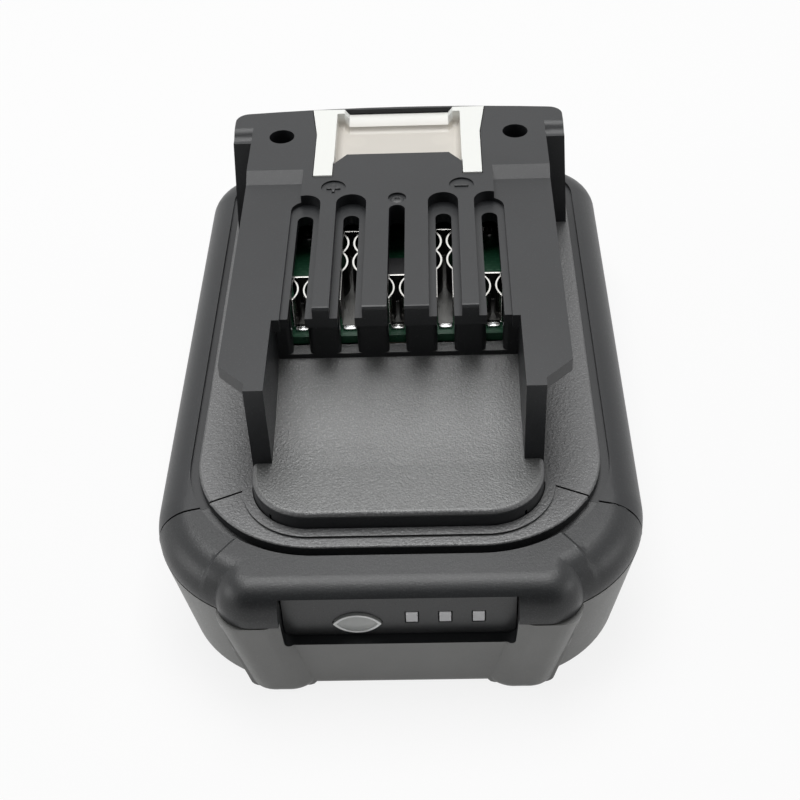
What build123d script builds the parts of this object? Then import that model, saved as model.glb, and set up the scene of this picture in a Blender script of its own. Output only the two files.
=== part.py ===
from build123d import *
import os
from math import sqrt

# A slide-on battery pack for cordless tools: five round lithium cells in one row.
# Lengths are millimetres. +Z is up, the charge gauge faces -Y and the release latch
# is at +Y. The origin is on the ground, under the middle of the pack.

os.makedirs("parts", exist_ok=True)

# Working allowances
overrun = 3.0            # how far a cutting shape passes the face that it cuts
slip = 0.15              # gap between moulded pieces that slot together
clearance = 0.3          # gap around pieces that only stand near each other

# Cells, which set the size of the whole pack
cell_count = 5
cell_diameter = 18.3
cell_length = 65.2
cell_gap = 0.4
cell_nub_radius = 3.4
cell_nub_height = 0.9
row_shift = 2.6          # the row sits this far behind the middle of the pack
cell_radius = cell_diameter / 2
cell_pitch = cell_diameter + cell_gap
cell_end = cell_length / 2
first_cell = row_shift - cell_pitch * (cell_count - 1) / 2
cell_places = [first_cell + index * cell_pitch for index in range(cell_count)]
last_cell = cell_places[-1]

# Overall size: the cells and the room around them
end_room = 24.5
side_room = 12.8
pack_length = cell_count * cell_pitch + end_room
pack_width = cell_length + side_room

# Walls
lower_wall = 2.0
floor_wall = 1.8
upper_wall = 1.8
shelf_wall = 3.4
roof_wall = 2.05

# Heights, built up from the ground over the cells
saddle_gap = 0.15
roof_gap = 0.7
ring_step = 0.9          # the grained ring stands this far above the shoulder
shoulder_rise = 6.1      # from the split between the cases to the shoulder's top
pad_rise = 3.3           # the pad stands this far above the ring
rail_rise = 15.5         # the rails stand this far above the pad
head_step = 1.4          # the head and the contact fingers stand above the rails
cell_z = floor_wall + saddle_gap + cell_radius
cell_top = cell_z + cell_radius
ceiling_z = cell_top + roof_gap
ring_z = ceiling_z + roof_wall
shoulder_z = ring_z - ring_step
split_z = shoulder_z - shoulder_rise
pad_z = ring_z + pad_rise
rail_z = pad_z + rail_rise
head_z = rail_z + head_step

# Plan of the body
pillar_proud = 1.6       # how far the two front pillars stand in front of the body
front_face = -pack_length / 2
body_front = front_face + pillar_proud
back_face = pack_length / 2
front_corner = 21.2
back_corner = 11.5
side_draft = 2.0         # how far the lower case draws in towards the ground
shoulder_round = 5.5
bottom_round = 1.6

# Tongue of the lower case and the room for it in the pieces above
tongue_height = 1.5
tongue_wall = 1.1
tongue_root = 3.0
tongue_room = 0.3
shelf_rise = 3.6

# Ring, groove and pad on top of the shoulder
ring_side = 6.4
ring_ahead = 8.5
ring_behind = 6.5
ring_corner = 20.0
ring_back_corner = 6.0
ring_edge_round = 0.4
groove_width = 1.5
groove_depth = 1.5
pad_half_width = 23.1
pad_ahead = 12.2
pad_corner = 9.3
pad_edge_round = 0.9
bead_width = 1.6
bead_height = 0.4
ring_half_width = pack_width / 2 - ring_side
pad_front = body_front + pad_ahead

# Slide rails
web_thickness = 3.1
flange_reach = 4.35
flange_thickness = 2.4
rail_setback = 11.4      # the rails start this far behind the pad's front
taper_setback = 1.7
taper_length = 4.3
web_inner = pad_half_width - web_thickness
flange_outer = pad_half_width + flange_reach
rail_front = pad_front + rail_setback

# Contact comb
slot_pitch = 8.05
slot_width = 2.8
slot_count = 5
slot_length = 28.6       # from the finger tips to the rounded end
recess_width = 5.3
recess_length = 32.2
ledge_drop = 2.1         # the recess floor lies this far below the finger tops
ledge_thickness = 1.8
comb_setback = 17.9      # the finger tips are this far behind the front of the rails
comb_ear = 1.0           # the plate beside the outer slots reaches this much further
post_setback = 2.7       # the walls under the fingers stand this far behind the tips
post_thickness = 2.0
post_round_share = 0.45  # of the thinner way through each wall
centre_half_width = 17.1
finger_front = rail_front + comb_setback
post_front = finger_front + post_setback
ledge_z = head_z - ledge_drop
comb_z = ledge_z - ledge_thickness
first_slot = -slot_pitch * (slot_count - 1) / 2
slot_places = [first_slot + index * slot_pitch for index in range(slot_count)]
polarity_radius = 2.2
polarity_depth = 0.3
polarity_x = 11.4
polarity_setback = 34.5
dimple_setback = 30.8
dimple_radius = 1.6
dimple_depth = 0.4

# Ramp from the pad up to the contacts
ramp_setback = 9.2       # the pad is level this far back, then it rises
ramp_lip = 0.3
board_rise = 5.1         # underside of the main board above the pad
sill_z = pad_z + board_rise
ramp_start = pad_front + ramp_setback
ramp_back = post_front + post_thickness + ramp_lip

# Head around the release latch
head_inset = 1.6
head_flare = 1.2         # the head is wider at its foot by this on each side
head_behind = 13.4
head_length = 9.5
head_bow = 1.5
head_corner = 2.6
head_wall = 2.0
step_ahead = 13.6        # where the rail tops start to rise, ahead of the head
step_run = 1.7
wing_flat = 0.2
wing_run = 3.4
head_half_width = ring_half_width - head_inset
head_back = back_face - head_behind
head_front = head_back - head_length

# Screw wells in the head, with their screws and the ears below them
well_x = 21.8
carrier_ear_reach = 3.2
well_ahead = 0.2
well_radius = 2.35
well_wall = 1.55
well_depth = 15.2
well_floor = 2.0
well_screw_head = 2.0
well_screw_height = 1.7
well_screw_shank = 1.2
well_screw_length = 6.5
well_y = head_front - well_ahead
well_floor_z = head_z - well_depth
well_places = [(-well_x, well_y), (well_x, well_y)]

# Front pillars and the bumper over the gauge
foot_inner = 15.0
foot_outer = 23.6
neck_inner = 17.2
neck_outer = 28.0
pillar_corner_share = 0.42
pillar_depth = 7.0
pillar_wall = 2.2
bumper_half_width = 28.2
bumper_depth = 12.0
bumper_corner = 6.0
bumper_round = 4.8
lip_rise = 4.6           # underside of the bumper over the gauge, above the split
notch_half_width = 18.1
notch_drop = 5.8         # bottom of the gauge notch, below the split
notch_corner = 1.6
lip_z = split_z + lip_rise
notch_z = split_z - notch_drop

# Finger flutes along both shoulders
flute_radius = 6.0
flute_depth = 0.75
flute_ahead = 25.6
flute_behind = 15.9

# Seam between the upper case and the front cover, from the side in to the pad
seam_gap = 0.12
seam_side_back = 15.4
seam_ring_back = 18.6
seam_ring_inset = 3.0
seam_pad_back = 21.6

# Case screws, driven from below
front_boss_x = 21.5
front_boss_back = 6.2
back_boss_x = 27.0
back_boss_ahead = 5.5
case_screw_head = 2.2
case_screw_height = 1.8
case_screw_shank = 1.3
case_screw_length = 10.5
case_screw_well = 8.0
tower_wall = 0.9
upper_boss_radius = 3.0
pilot_gap = 0.08
pilot_cover = 1.2
boss_places = [
    (-front_boss_x, body_front + front_boss_back),
    (front_boss_x, body_front + front_boss_back),
    (-back_boss_x, back_face - back_boss_ahead),
    (back_boss_x, back_face - back_boss_ahead),
]

# Cell holders, links between the cells and the tabs that carry the current out
holder_inner = 22.0
holder_plate = 1.0
holder_half_height = 8.0
holder_wrap = 0.6
holder_corner = 3.0
holder_gap = 0.1
strip_thickness = 0.2
strip_half_width = 3.5
strip_reach = 4.0
strip_lift = 0.25        # the tabs run this far above the cells
insulator_thickness = 0.25
insulator_margin = 1.2
tab_run_inner = well_x + carrier_ear_reach + 2 * clearance
tab_run_outer = well_x + carrier_ear_reach + strip_reach
holder_outer = cell_end + holder_plate
tab_z = cell_top + strip_lift

# Ribs in the lower case
saddle_room = 1.2        # from the outer saddles to the cell holders
saddle_thickness = 1.6
saddle_height = 5.0
side_rib_thickness = 1.2
side_rib_top = 14.0
saddle_pitch = holder_inner - saddle_room - saddle_thickness / 2

# Charge gauge: panel, button, light guide, board, lights and switch
panel_recess = 1.8
panel_thickness = 1.4
button_x = -6.5
button_drop = 2.7        # centre of the button, below the split
button_width = 7.45
button_height = 4.1
button_proud = 0.4
button_travel = 0.6
button_flange = 0.8
button_flange_thickness = 0.6
button_stem = 1.2
window_first = 1.9
window_pitch = 5.12
window_count = 3
window_width = 1.8
window_height = 2.25
window_drop = 1.7
guide_bar_height = 1.4
guide_bar_depth = 0.8
board_setback = 2.8      # face of the gauge board behind the panel
gauge_board_half_width = 15.0
gauge_board_thickness = 1.0
gauge_board_bottom = 5.5
gauge_board_height = 14.0
slot_post_x = 13.5
slot_post_width = 3.0
slot_post_height = 6.0
slot_post_wall = 1.1
led_width = 1.6
led_height = 0.9
led_depth = 0.8
switch_width = 4.4
switch_depth = 0.9
switch_dome = 0.2
cable_half_width = 3.0
cable_thickness = 0.25
cable_top_setback = 4.5
panel_face = body_front + panel_recess
panel_back = panel_face + panel_thickness
gauge_board_front = panel_back + board_setback
gauge_board_back = gauge_board_front + gauge_board_thickness
window_places = [window_first + index * window_pitch for index in range(window_count)]
window_z = split_z - window_drop
button_z = split_z - button_drop

# Main board with its chips
board_half_width = 19.2
board_length = 30.6
board_thickness = 1.6
board_gap = 0.3
chip_setback = 26.2
chip_width = 5.0
chip_length = 5.6
chip_height = 1.1
control_chip_setback = 17.0
control_chip_width = 6.0
control_chip_length = 6.0
board_screw_x = 16.4
board_screw_setback = 27.8
board_screw_head = 1.7
board_screw_height = 1.2
board_screw_shank = 0.9
board_screw_length = 6.0
board_front = ramp_back + board_gap
board_back = board_front + board_length
board_top = sill_z + board_thickness
board_screw_y = board_front + board_screw_setback
board_screw_places = [(-board_screw_x, board_screw_y), (board_screw_x, board_screw_y)]

# Contacts: pairs of spring leaves that grip the tool's blades
leaf_thickness = 0.4
leaf_spread = 1.45
leaf_pinch = 0.5
leaf_reach = 2.7
leaf_tail = 1.0
contact_setback = 2.3
contact_base = 0.5
contact_height = 6.0
signal_pinches = [2.9]
power_pinches = [10.4, 15.8]
contact_front = board_front + contact_setback

# Board carrier between the cells and the main board
carrier_gap = 0.3
carrier_floor = 1.5
carrier_side_gap = 0.3
carrier_wall = 1.6
carrier_setback = 2.2
carrier_behind = 2.6
carrier_rib_height = 5.0
carrier_ear_depth = 6.4
carrier_boss = 2.7
carrier_screw_boss = 2.2
carrier_window = 4.4
pedestal_radius = 2.6
pedestal_height = 2.0
peg_radius = 1.5
peg_height = 2.0
carrier_z = cell_top + carrier_gap
carrier_top = carrier_z + carrier_floor
carrier_half_width = web_inner - carrier_side_gap
carrier_front = board_front + carrier_setback
carrier_back = head_back - carrier_behind

# Release latch and its springs
arm_outer = 15.2
arm_outer_back = 16.3
arm_inner = 11.8
tongue_tip_half = 9.4
arm_length = 22.6
arm_straight = 13.8
tongue_chamfer = 4.1
tongue_chamfer_run = 3.1
latch_margin = 0.8       # from the latch's back to the back of the head
latch_rise = 0.2         # the latch stands this far above the head
latch_dip = 2.8          # the thumb plate lies this far below the head
latch_slab = 1.6
latch_travel = 3.2
rim_width = 1.5
dip_round = 1.3
skirt_half_width = 14.0
skirt_wall = 1.4
skirt_front_gap = 1.2
skirt_back_gap = 2.0
skirt_depth = 8.8
retainer_reach = 2.0
retainer_length = 3.5
retainer_height = 1.6
retainer_back = 0.6
spring_x = 8.0
spring_ahead = 7.6
spring_radius = 2.5
spring_bore = 1.9
spring_length = 7.0
spring_seat_radius = 2.4
latch_back = head_back - latch_margin
latch_front = latch_back - arm_length
tongue_tip_y = latch_front + tongue_chamfer + tongue_chamfer_run
latch_top = head_z + latch_rise
plate_z = head_z - latch_dip
latch_under = plate_z - latch_slab
spring_y = head_back - spring_ahead
spring_places = [(-spring_x, spring_y), (spring_x, spring_y)]
spring_bottom = carrier_top + pedestal_height
spring_top = spring_bottom + spring_length

# Temperature sensor in the valley between two cells
sensor_radius = 1.8
sensor_length = 5.0
sensor_lead_width = 2.0
sensor_lead_thickness = 0.4
sensor_y = (cell_places[2] + cell_places[3]) / 2
sensor_reach = cell_radius + sensor_radius + clearance
sensor_z = cell_z + sqrt(sensor_reach**2 - (cell_pitch / 2) ** 2)


def level(height):
    """A horizontal plane at the given height."""
    return Plane.XY.offset(height)


def on_side(side, near, far):
    """The X span between two distances from the middle, on one side of the pack."""
    return tuple(sorted((side * near, side * far)))


def rounded_box(x_span, y_span, front_radius, back_radius):
    """Draw a rectangle with one radius at its -Y corners and one at its +Y corners."""
    corners = [
        (x_span[0], y_span[0]),
        (x_span[1], y_span[0]),
        (x_span[1], y_span[1]),
        (x_span[0], y_span[1]),
    ]
    radii = [front_radius, front_radius, back_radius, back_radius]
    with BuildLine() as outline:
        FilletPolyline(*corners, radius=radii, close=True)
    make_face(outline.edges())


def polygon(points):
    """Draw a straight-sided outline."""
    with BuildLine() as outline:
        Polyline(*points, close=True)
    make_face(outline.edges())


def body_outline(inset):
    """Draw the body's plan outline, drawn in by the given inset."""
    half = pack_width / 2 - inset
    ends = (body_front + inset, back_face - inset)
    rounded_box((-half, half), ends, front_corner - inset, back_corner - inset)


def ring_outline(grow):
    """Draw the outline of the grained ring, let out by the given amount."""
    half = ring_half_width + grow
    ends = (body_front + ring_ahead - grow, back_face - ring_behind + grow)
    rounded_box((-half, half), ends, ring_corner + grow, ring_back_corner + grow)


def pad_outline(grow):
    """Draw the outline of the raised pad, let out by the given amount."""
    half = pad_half_width + grow
    rounded_box((-half, half), (pad_front - grow, ramp_back), pad_corner + grow, 0)


def block(x_span, y_span, z_span, mode=Mode.ADD):
    """A block between two places along each axis."""
    with BuildSketch(level(z_span[0])) as plan:
        with Locations(((x_span[0] + x_span[1]) / 2, (y_span[0] + y_span[1]) / 2)):
            Rectangle(x_span[1] - x_span[0], y_span[1] - y_span[0])
    extrude(plan.sketch, amount=z_span[1] - z_span[0], mode=mode)


def post(places, radius, z_span, mode=Mode.ADD):
    """Round upright posts or holes at the given plan places."""
    with BuildSketch(level(z_span[0])) as plan:
        with Locations(*places):
            Circle(radius)
    extrude(plan.sketch, amount=z_span[1] - z_span[0], mode=mode)


def cell_bores(x_span, radius, mode=Mode.ADD):
    """Round bars along X, one on the axis of each cell."""
    with BuildSketch(Plane.YZ.offset(x_span[0])) as section:
        with Locations(*[(y, cell_z) for y in cell_places]):
            Circle(radius)
    extrude(section.sketch, amount=x_span[1] - x_span[0], mode=mode)


def screw(place, seat_z, head, height, shank, reach, mode=Mode.ADD):
    """A screw whose head rests on seat_z; reach runs up, or down when negative."""
    top = seat_z - height if reach > 0 else seat_z
    post([place], head, (top, top + height), mode)
    post([place], shank, tuple(sorted((seat_z, seat_z + reach))), mode)


def save(piece, label):
    """Name a finished piece and write it out."""
    piece.part.label = label
    export_step(piece.part, f"parts/{label}.step")


# Front pillars: two bulging legs that stand in front of the lower case
def pillar_section(inset, inner, outer):
    """Draw the plan of the right pillar, drawn in by the given inset."""
    radius = pillar_corner_share * (foot_outer - foot_inner) - inset
    depth = (front_face + inset, front_face + pillar_depth)
    rounded_box((inner + inset, outer - inset), depth, radius, 0)


with BuildPart() as pillar:
    with BuildSketch(Plane.XY):
        pillar_section(0, foot_inner, foot_outer)
    with BuildSketch(level(split_z)):
        pillar_section(0, neck_inner, neck_outer)
    loft()
    fillet(pillar.faces().sort_by(Axis.Z)[0].edges(), radius=bottom_round)

with BuildPart() as pillar_core:
    with BuildSketch(level(floor_wall)):
        pillar_section(pillar_wall, foot_inner, foot_outer)
    with BuildSketch(level(split_z)):
        pillar_section(pillar_wall, neck_inner, neck_outer)
    loft()

# Ribs, saddles and slotted posts that stand inside the lower case
tower_radius = case_screw_head + clearance + tower_wall
rib_face = holder_outer + insulator_thickness + clearance

with BuildPart() as case_ribs:
    for x in (-saddle_pitch, 0, saddle_pitch):
        along = (x - saddle_thickness / 2, x + saddle_thickness / 2)
        block(along, (first_cell - cell_radius, last_cell + cell_radius), (0, floor_wall + saddle_height))
    cell_bores((-cell_end, cell_end), cell_radius + saddle_gap, Mode.SUBTRACT)
    for index in range(cell_count - 1):
        middle = cell_places[index] + cell_pitch / 2
        across = (middle - side_rib_thickness / 2, middle + side_rib_thickness / 2)
        for side in (-1, 1):
            block(on_side(side, rib_face, pack_width / 2), across, (0, side_rib_top))
    for x in (-slot_post_x, slot_post_x):
        along = (x - slot_post_width / 2, x + slot_post_width / 2)
        faces = (gauge_board_front - slot_post_wall, gauge_board_back + slot_post_wall)
        block(along, faces, (0, floor_wall + slot_post_height))
    post(boss_places, tower_radius, (0, split_z))
    # Slot for the gauge board
    faces = (gauge_board_front - slip, gauge_board_back + slip)
    half = gauge_board_half_width + slip
    block((-half, half), faces, (gauge_board_bottom, split_z), Mode.SUBTRACT)

# Lower case: a tapered tub with a screw well under each tower


def tub_inset(height):
    """How far the tub's outside lies inside the split outline at a height."""
    return side_draft * (1 - height / split_z)


with BuildPart() as tub_hollow:
    with BuildSketch(level(floor_wall)):
        body_outline(tub_inset(floor_wall) + lower_wall)
    with BuildSketch(level(split_z)):
        body_outline(lower_wall)
    loft()
    add(pillar_core.part)
    add(mirror(pillar_core.part, about=Plane.YZ, mode=Mode.PRIVATE))
    add(case_ribs.part, mode=Mode.SUBTRACT)

with BuildPart() as tongue:
    with BuildSketch(level(split_z - tongue_root)):
        body_outline(upper_wall + slip)
    extrude(amount=tongue_root + tongue_height)
    with BuildSketch(level(split_z - tongue_root)):
        body_outline(upper_wall + slip + tongue_wall)
    extrude(amount=tongue_root + tongue_height, mode=Mode.SUBTRACT)
    post(boss_places, upper_boss_radius + slip, (split_z, split_z + tongue_height), Mode.SUBTRACT)

with BuildPart() as gauge_notch:
    with BuildSketch(Plane.XZ.offset(-panel_back - clearance)):
        with Locations((0, notch_z + pack_width / 2)):
            RectangleRounded(2 * notch_half_width, pack_width, notch_corner)
    extrude(amount=pack_length)

with BuildPart() as lower_case:
    with BuildSketch(Plane.XY):
        body_outline(side_draft)
    with BuildSketch(level(split_z)):
        body_outline(0)
    loft()
    fillet(lower_case.faces().sort_by(Axis.Z)[0].edges(), radius=bottom_round)
    add(pillar.part)
    add(mirror(pillar.part, about=Plane.YZ, mode=Mode.PRIVATE))
    add(tub_hollow.part, mode=Mode.SUBTRACT)
    add(tongue.part)
    add(gauge_notch.part, mode=Mode.SUBTRACT)
    post(boss_places, case_screw_head + clearance, (-overrun, case_screw_well), Mode.SUBTRACT)
    post(boss_places, case_screw_shank + clearance, (0, split_z + overrun), Mode.SUBTRACT)

save(lower_case, "lower_case")

# Shell that the upper case and the front cover are both cut from
with BuildPart() as bumper:
    with BuildSketch(level(split_z)):
        ends = (front_face, front_face + bumper_depth)
        rounded_box((-bumper_half_width, bumper_half_width), ends, bumper_corner, 0)
    extrude(amount=shoulder_rise)
    fillet(bumper.faces().sort_by(Axis.Z)[-1].edges().sort_by(Axis.Y)[:-1], radius=bumper_round)

with BuildPart() as upper_hollow:
    with BuildSketch(level(split_z)):
        body_outline(upper_wall)
    extrude(amount=tongue_height + tongue_room)
    with BuildSketch(level(split_z)):
        body_outline(shelf_wall)
    extrude(amount=shelf_rise)
    ends = (first_cell - strip_reach, last_cell + strip_reach + clearance)
    for reach in (cell_end + strip_thickness, tab_run_outer):
        half = reach + clearance
        block((-half, half), ends, (split_z, ceiling_z))
    half = cable_half_width + clearance
    block((-half, half), (gauge_board_front - clearance, first_cell), (split_z, ceiling_z))
    post(boss_places, upper_boss_radius, (split_z + seam_gap, ceiling_z), Mode.SUBTRACT)
    post(boss_places, case_screw_shank + pilot_gap, (split_z, shoulder_z - groove_depth - pilot_cover))

flute_offset = (shoulder_round + flute_radius - flute_depth) / sqrt(2)
flute_x = pack_width / 2 - shoulder_round + flute_offset
flute_z = shoulder_z - shoulder_round + flute_offset

with BuildPart() as flute:
    flute_ends = (body_front + flute_ahead, back_face - flute_behind)
    with Locations((flute_x, (flute_ends[0] + flute_ends[1]) / 2, flute_z)):
        Cylinder(flute_radius, flute_ends[1] - flute_ends[0], rotation=(90, 0, 0))
    with Locations(*[(flute_x, y, flute_z) for y in flute_ends]):
        Sphere(flute_radius)

with BuildPart() as shell:
    with BuildSketch(level(split_z)):
        body_outline(0)
    extrude(amount=shoulder_rise)
    fillet(shell.faces().sort_by(Axis.Z)[-1].edges(), radius=shoulder_round)
    add(bumper.part)
    with BuildSketch(level(ring_z - groove_depth)):
        ring_outline(groove_width)
    extrude(amount=groove_depth, mode=Mode.SUBTRACT)
    with BuildSketch(level(ring_z - groove_depth)):
        ring_outline(0)
    extrude(amount=groove_depth)
    fillet(shell.faces().sort_by(Axis.Z)[-1].edges(), radius=ring_edge_round)
    add(flute.part, mode=Mode.SUBTRACT)
    add(mirror(flute.part, about=Plane.YZ, mode=Mode.PRIVATE), mode=Mode.SUBTRACT)
    add(upper_hollow.part, mode=Mode.SUBTRACT)
    half = notch_half_width
    block((-half, half), (front_face - overrun, panel_back + clearance), (0, lip_z), Mode.SUBTRACT)


def front_region(gap):
    """Draw the plan area in front of the seam, let out by the given gap."""
    far = pack_width / 2 + overrun
    ring_x = ring_half_width - seam_ring_inset
    side_y = body_front + seam_side_back + gap
    ring_y = body_front + seam_ring_back + gap
    pad_y = body_front + seam_pad_back + gap
    right = [(far, side_y), (ring_x, ring_y), (pad_half_width, pad_y)]
    left = [(-x, y) for x, y in reversed(right)]
    front = front_face - overrun
    polygon([(-far, front), (far, front)] + right + left)


# Front cover: bumper, front shoulders and the front of the ring with its bead
with BuildPart() as front_part:
    with BuildSketch(Plane.XY):
        front_region(0)
    extrude(amount=head_z)

with BuildPart() as front_cover:
    add(shell.part)
    with BuildSketch(level(ring_z)):
        pad_outline(slip + bead_width)
    extrude(amount=bead_height)
    add(front_part.part, mode=Mode.INTERSECT)
    with BuildSketch(level(split_z)):
        pad_outline(slip)
    extrude(amount=pad_z - split_z, mode=Mode.SUBTRACT)

save(front_cover, "front_cover")

# Pad and ramp of the upper case
with BuildPart() as pad:
    with BuildSketch(level(ceiling_z)):
        pad_outline(0)
    extrude(amount=pad_z - ceiling_z)
    fillet(pad.faces().sort_by(Axis.Z)[-1].edges().sort_by(Axis.Y)[:-1], radius=pad_edge_round)
    with BuildSketch(Plane.YZ):
        with BuildLine():
            rise = TangentArc((ramp_start, pad_z), (ramp_back, sill_z), tangent=(1, 0))
            Polyline(rise @ 1, (ramp_back, ceiling_z), (ramp_start, ceiling_z), rise @ 0)
        make_face()
    extrude(amount=web_inner, both=True)
    with BuildSketch(Plane.YZ):
        with BuildLine():
            roof_y = ramp_back - roof_wall
            under = TangentArc((ramp_start, pad_z - roof_wall), (roof_y, sill_z - roof_wall), tangent=(1, 0))
            front = pad_front + roof_wall
            Polyline(under @ 1, (roof_y, 0), (front, 0), (front, pad_z - roof_wall), under @ 0)
        make_face()
    extrude(amount=web_inner, both=True, mode=Mode.SUBTRACT)

# Head: a bowed, tapered box over the latch
def head_section(grow):
    """Draw the head's plan, let out by the given amount."""
    half = head_half_width + grow
    back = head_back + grow
    bow_radius = (half**2 + head_bow**2) / (2 * head_bow)
    with BuildSketch(mode=Mode.PRIVATE) as plan:
        with Locations((0, (head_front - grow + back) / 2)):
            Rectangle(2 * half, back - head_front + grow)
        with Locations((0, back - bow_radius)):
            Circle(bow_radius, mode=Mode.INTERSECT)
        fillet(plan.vertices().sort_by(Axis.Y)[-2:], radius=head_corner + grow)
    add(plan.sketch)


with BuildPart() as head:
    with BuildSketch(level(ceiling_z)):
        head_section(head_flare)
    with BuildSketch(level(head_z)):
        head_section(0)
    loft()

with BuildPart() as head_hollow:
    with BuildSketch(level(ceiling_z - overrun)):
        head_section(head_flare - head_wall)
    with BuildSketch(level(head_z - head_wall)):
        head_section(-head_wall)
    loft()

# The wings beside the rails dip down to the rail tops in an S curve
with BuildPart() as wing_dip:
    with BuildSketch(Plane.YZ.offset(flange_outer)):
        with BuildLine():
            low = (head_front + wing_flat, rail_z)
            high = (low[0] + wing_run, head_z)
            halfway = ((low[0] + high[0]) / 2, (low[1] + high[1]) / 2)
            dip = TangentArc(low, halfway, tangent=(1, 0))
            rise = TangentArc(high, halfway, tangent=(-1, 0))
            front = head_front - overrun
            top = head_z + overrun
            Polyline(rise @ 0, (high[0], top), (front, top), (front, rail_z), dip @ 0)
        make_face()
    extrude(amount=head_half_width)


# Latch outline, shared by the latch and its opening in the head
def latch_outline(grow):
    """Draw the latch's plan: a thumb plate with two arms that point to the front."""
    bend_y = latch_front + arm_straight
    right = [
        (tongue_tip_half, tongue_tip_y),
        (arm_inner, latch_front + tongue_chamfer),
        (arm_inner, latch_front),
        (arm_outer, latch_front),
        (arm_outer, bend_y),
        (arm_outer_back, latch_back),
    ]
    left = [(-x, y) for x, y in reversed(right)]
    polygon(right + left)
    if grow:
        offset(amount=grow, kind=Kind.INTERSECTION)


# Contact housing: webs, rails, roof plate and the comb in front of the contacts
def comb_slot(x, width, length, z_span):
    """Cut a slot with a rounded end, open at the finger tips."""
    end = finger_front + length - width / 2
    along = (finger_front - overrun, end)
    block((x - width / 2, x + width / 2), along, z_span, Mode.SUBTRACT)
    post([(x, end)], width / 2, z_span, Mode.SUBTRACT)


rail_back = head_front + head_wall

with BuildPart() as housing:
    for side in (-1, 1):
        block(on_side(side, web_inner, pad_half_width), (rail_front, rail_back), (ceiling_z, rail_z))
        with BuildSketch(level(rail_z - flange_thickness)):
            taper_start = rail_front + taper_setback
            polygon(
                [
                    (side * web_inner, rail_front),
                    (side * pad_half_width, rail_front),
                    (side * pad_half_width, taper_start),
                    (side * flange_outer, taper_start + taper_length),
                    (side * flange_outer, rail_back),
                    (side * web_inner, rail_back),
                ]
            )
        extrude(amount=flange_thickness)
    # Roof over the contacts, stepped up to the middle plate and to the head
    block((-web_inner, web_inner), (finger_front - comb_ear, rail_back), (comb_z, rail_z))
    block((-centre_half_width, centre_half_width), (finger_front, rail_back), (rail_z, head_z))
    with BuildSketch(Plane.YZ):
        step_y = head_front - step_ahead
        polygon(
            [
                (step_y, rail_z),
                (step_y + step_run, head_z),
                (rail_back, head_z),
                (rail_back, rail_z),
            ]
        )
    extrude(amount=flange_outer, both=True)
    half = slot_places[-1] + recess_width / 2
    ear = (finger_front - comb_ear - overrun, finger_front)
    block((-half, half), ear, (comb_z, rail_z), Mode.SUBTRACT)
    for x in slot_places:
        comb_slot(x, slot_width, slot_length, (comb_z, head_z))
        if x:
            comb_slot(x, recess_width, recess_length, (ledge_z, head_z))
    # Walls under the fingers, joined by a sill
    edges = [-pad_half_width]
    for x in slot_places:
        edges += [x - slot_width / 2, x + slot_width / 2]
    edges += [pad_half_width]
    depth = (post_front, post_front + post_thickness)
    with BuildSketch(level(sill_z)):
        for start, end in zip(edges[0::2], edges[1::2]):
            post_round = post_round_share * min(end - start, post_thickness)
            rounded_box((start, end), depth, post_round, 0)
    extrude(amount=comb_z - sill_z)
    block((-web_inner, web_inner), depth, (sill_z - roof_wall, sill_z))

# Upper case
with BuildPart() as upper_case:
    add(shell.part)
    with BuildSketch(Plane.XY):
        front_region(seam_gap)
    extrude(amount=head_z, mode=Mode.SUBTRACT)
    inside = (ramp_back, rail_back)
    block((-web_inner, web_inner), inside, (0, head_z), Mode.SUBTRACT)
    add(pad.part)
    add(head.part)
    add(wing_dip.part, mode=Mode.SUBTRACT)
    add(mirror(wing_dip.part, about=Plane.YZ, mode=Mode.PRIVATE), mode=Mode.SUBTRACT)
    add(head_hollow.part, mode=Mode.SUBTRACT)
    block((-web_inner, web_inner), inside, (0, comb_z), Mode.SUBTRACT)
    add(housing.part)
    # Screw wells down to the board carrier
    post(well_places, well_radius + well_wall, (ceiling_z, rail_z))
    post(well_places, well_radius, (well_floor_z, head_z), Mode.SUBTRACT)
    post(well_places, well_screw_shank + clearance, (0, head_z), Mode.SUBTRACT)
    seat_z = well_floor_z - well_floor
    post(well_places, carrier_boss + slip, (0, seat_z), Mode.SUBTRACT)
    ear = well_x + carrier_ear_reach + clearance
    half = carrier_ear_depth / 2 + clearance
    block((-ear, ear), (well_y - half, well_y + half), (0, carrier_top + slip), Mode.SUBTRACT)
    # Opening for the latch
    with BuildSketch(level(latch_under - latch_travel - clearance)):
        latch_outline(slip)
    extrude(amount=head_z, mode=Mode.SUBTRACT)
    # Shallow moulded marks on the middle plate
    marks = [(side * polarity_x, finger_front + polarity_setback) for side in (-1, 1)]
    post(marks, polarity_radius, (head_z - polarity_depth, head_z), Mode.SUBTRACT)
    dimple = [(0, finger_front + dimple_setback)]
    post(dimple, dimple_radius, (head_z - dimple_depth, head_z), Mode.SUBTRACT)

save(upper_case, "upper_case")

# Gauge panel, with its button hole and windows
def button_outline(grow):
    """Draw the lens-shaped face of the gauge button, let out by the given amount."""
    half = button_width / 2 + grow
    rise = button_height / 2 + grow
    with BuildLine() as lens:
        ThreePointArc((button_x - half, button_z), (button_x, button_z + rise), (button_x + half, button_z))
        ThreePointArc((button_x + half, button_z), (button_x, button_z - rise), (button_x - half, button_z))
    make_face(lens.edges())


def upright(y):
    """A vertical plane facing the front, at the given distance along Y."""
    return Plane.XZ.offset(-y)


def windows(grow):
    """Draw the gauge windows, let out by the given amount."""
    with Locations(*[(x, window_z) for x in window_places]):
        Rectangle(window_width + 2 * grow, window_height + 2 * grow)


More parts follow.
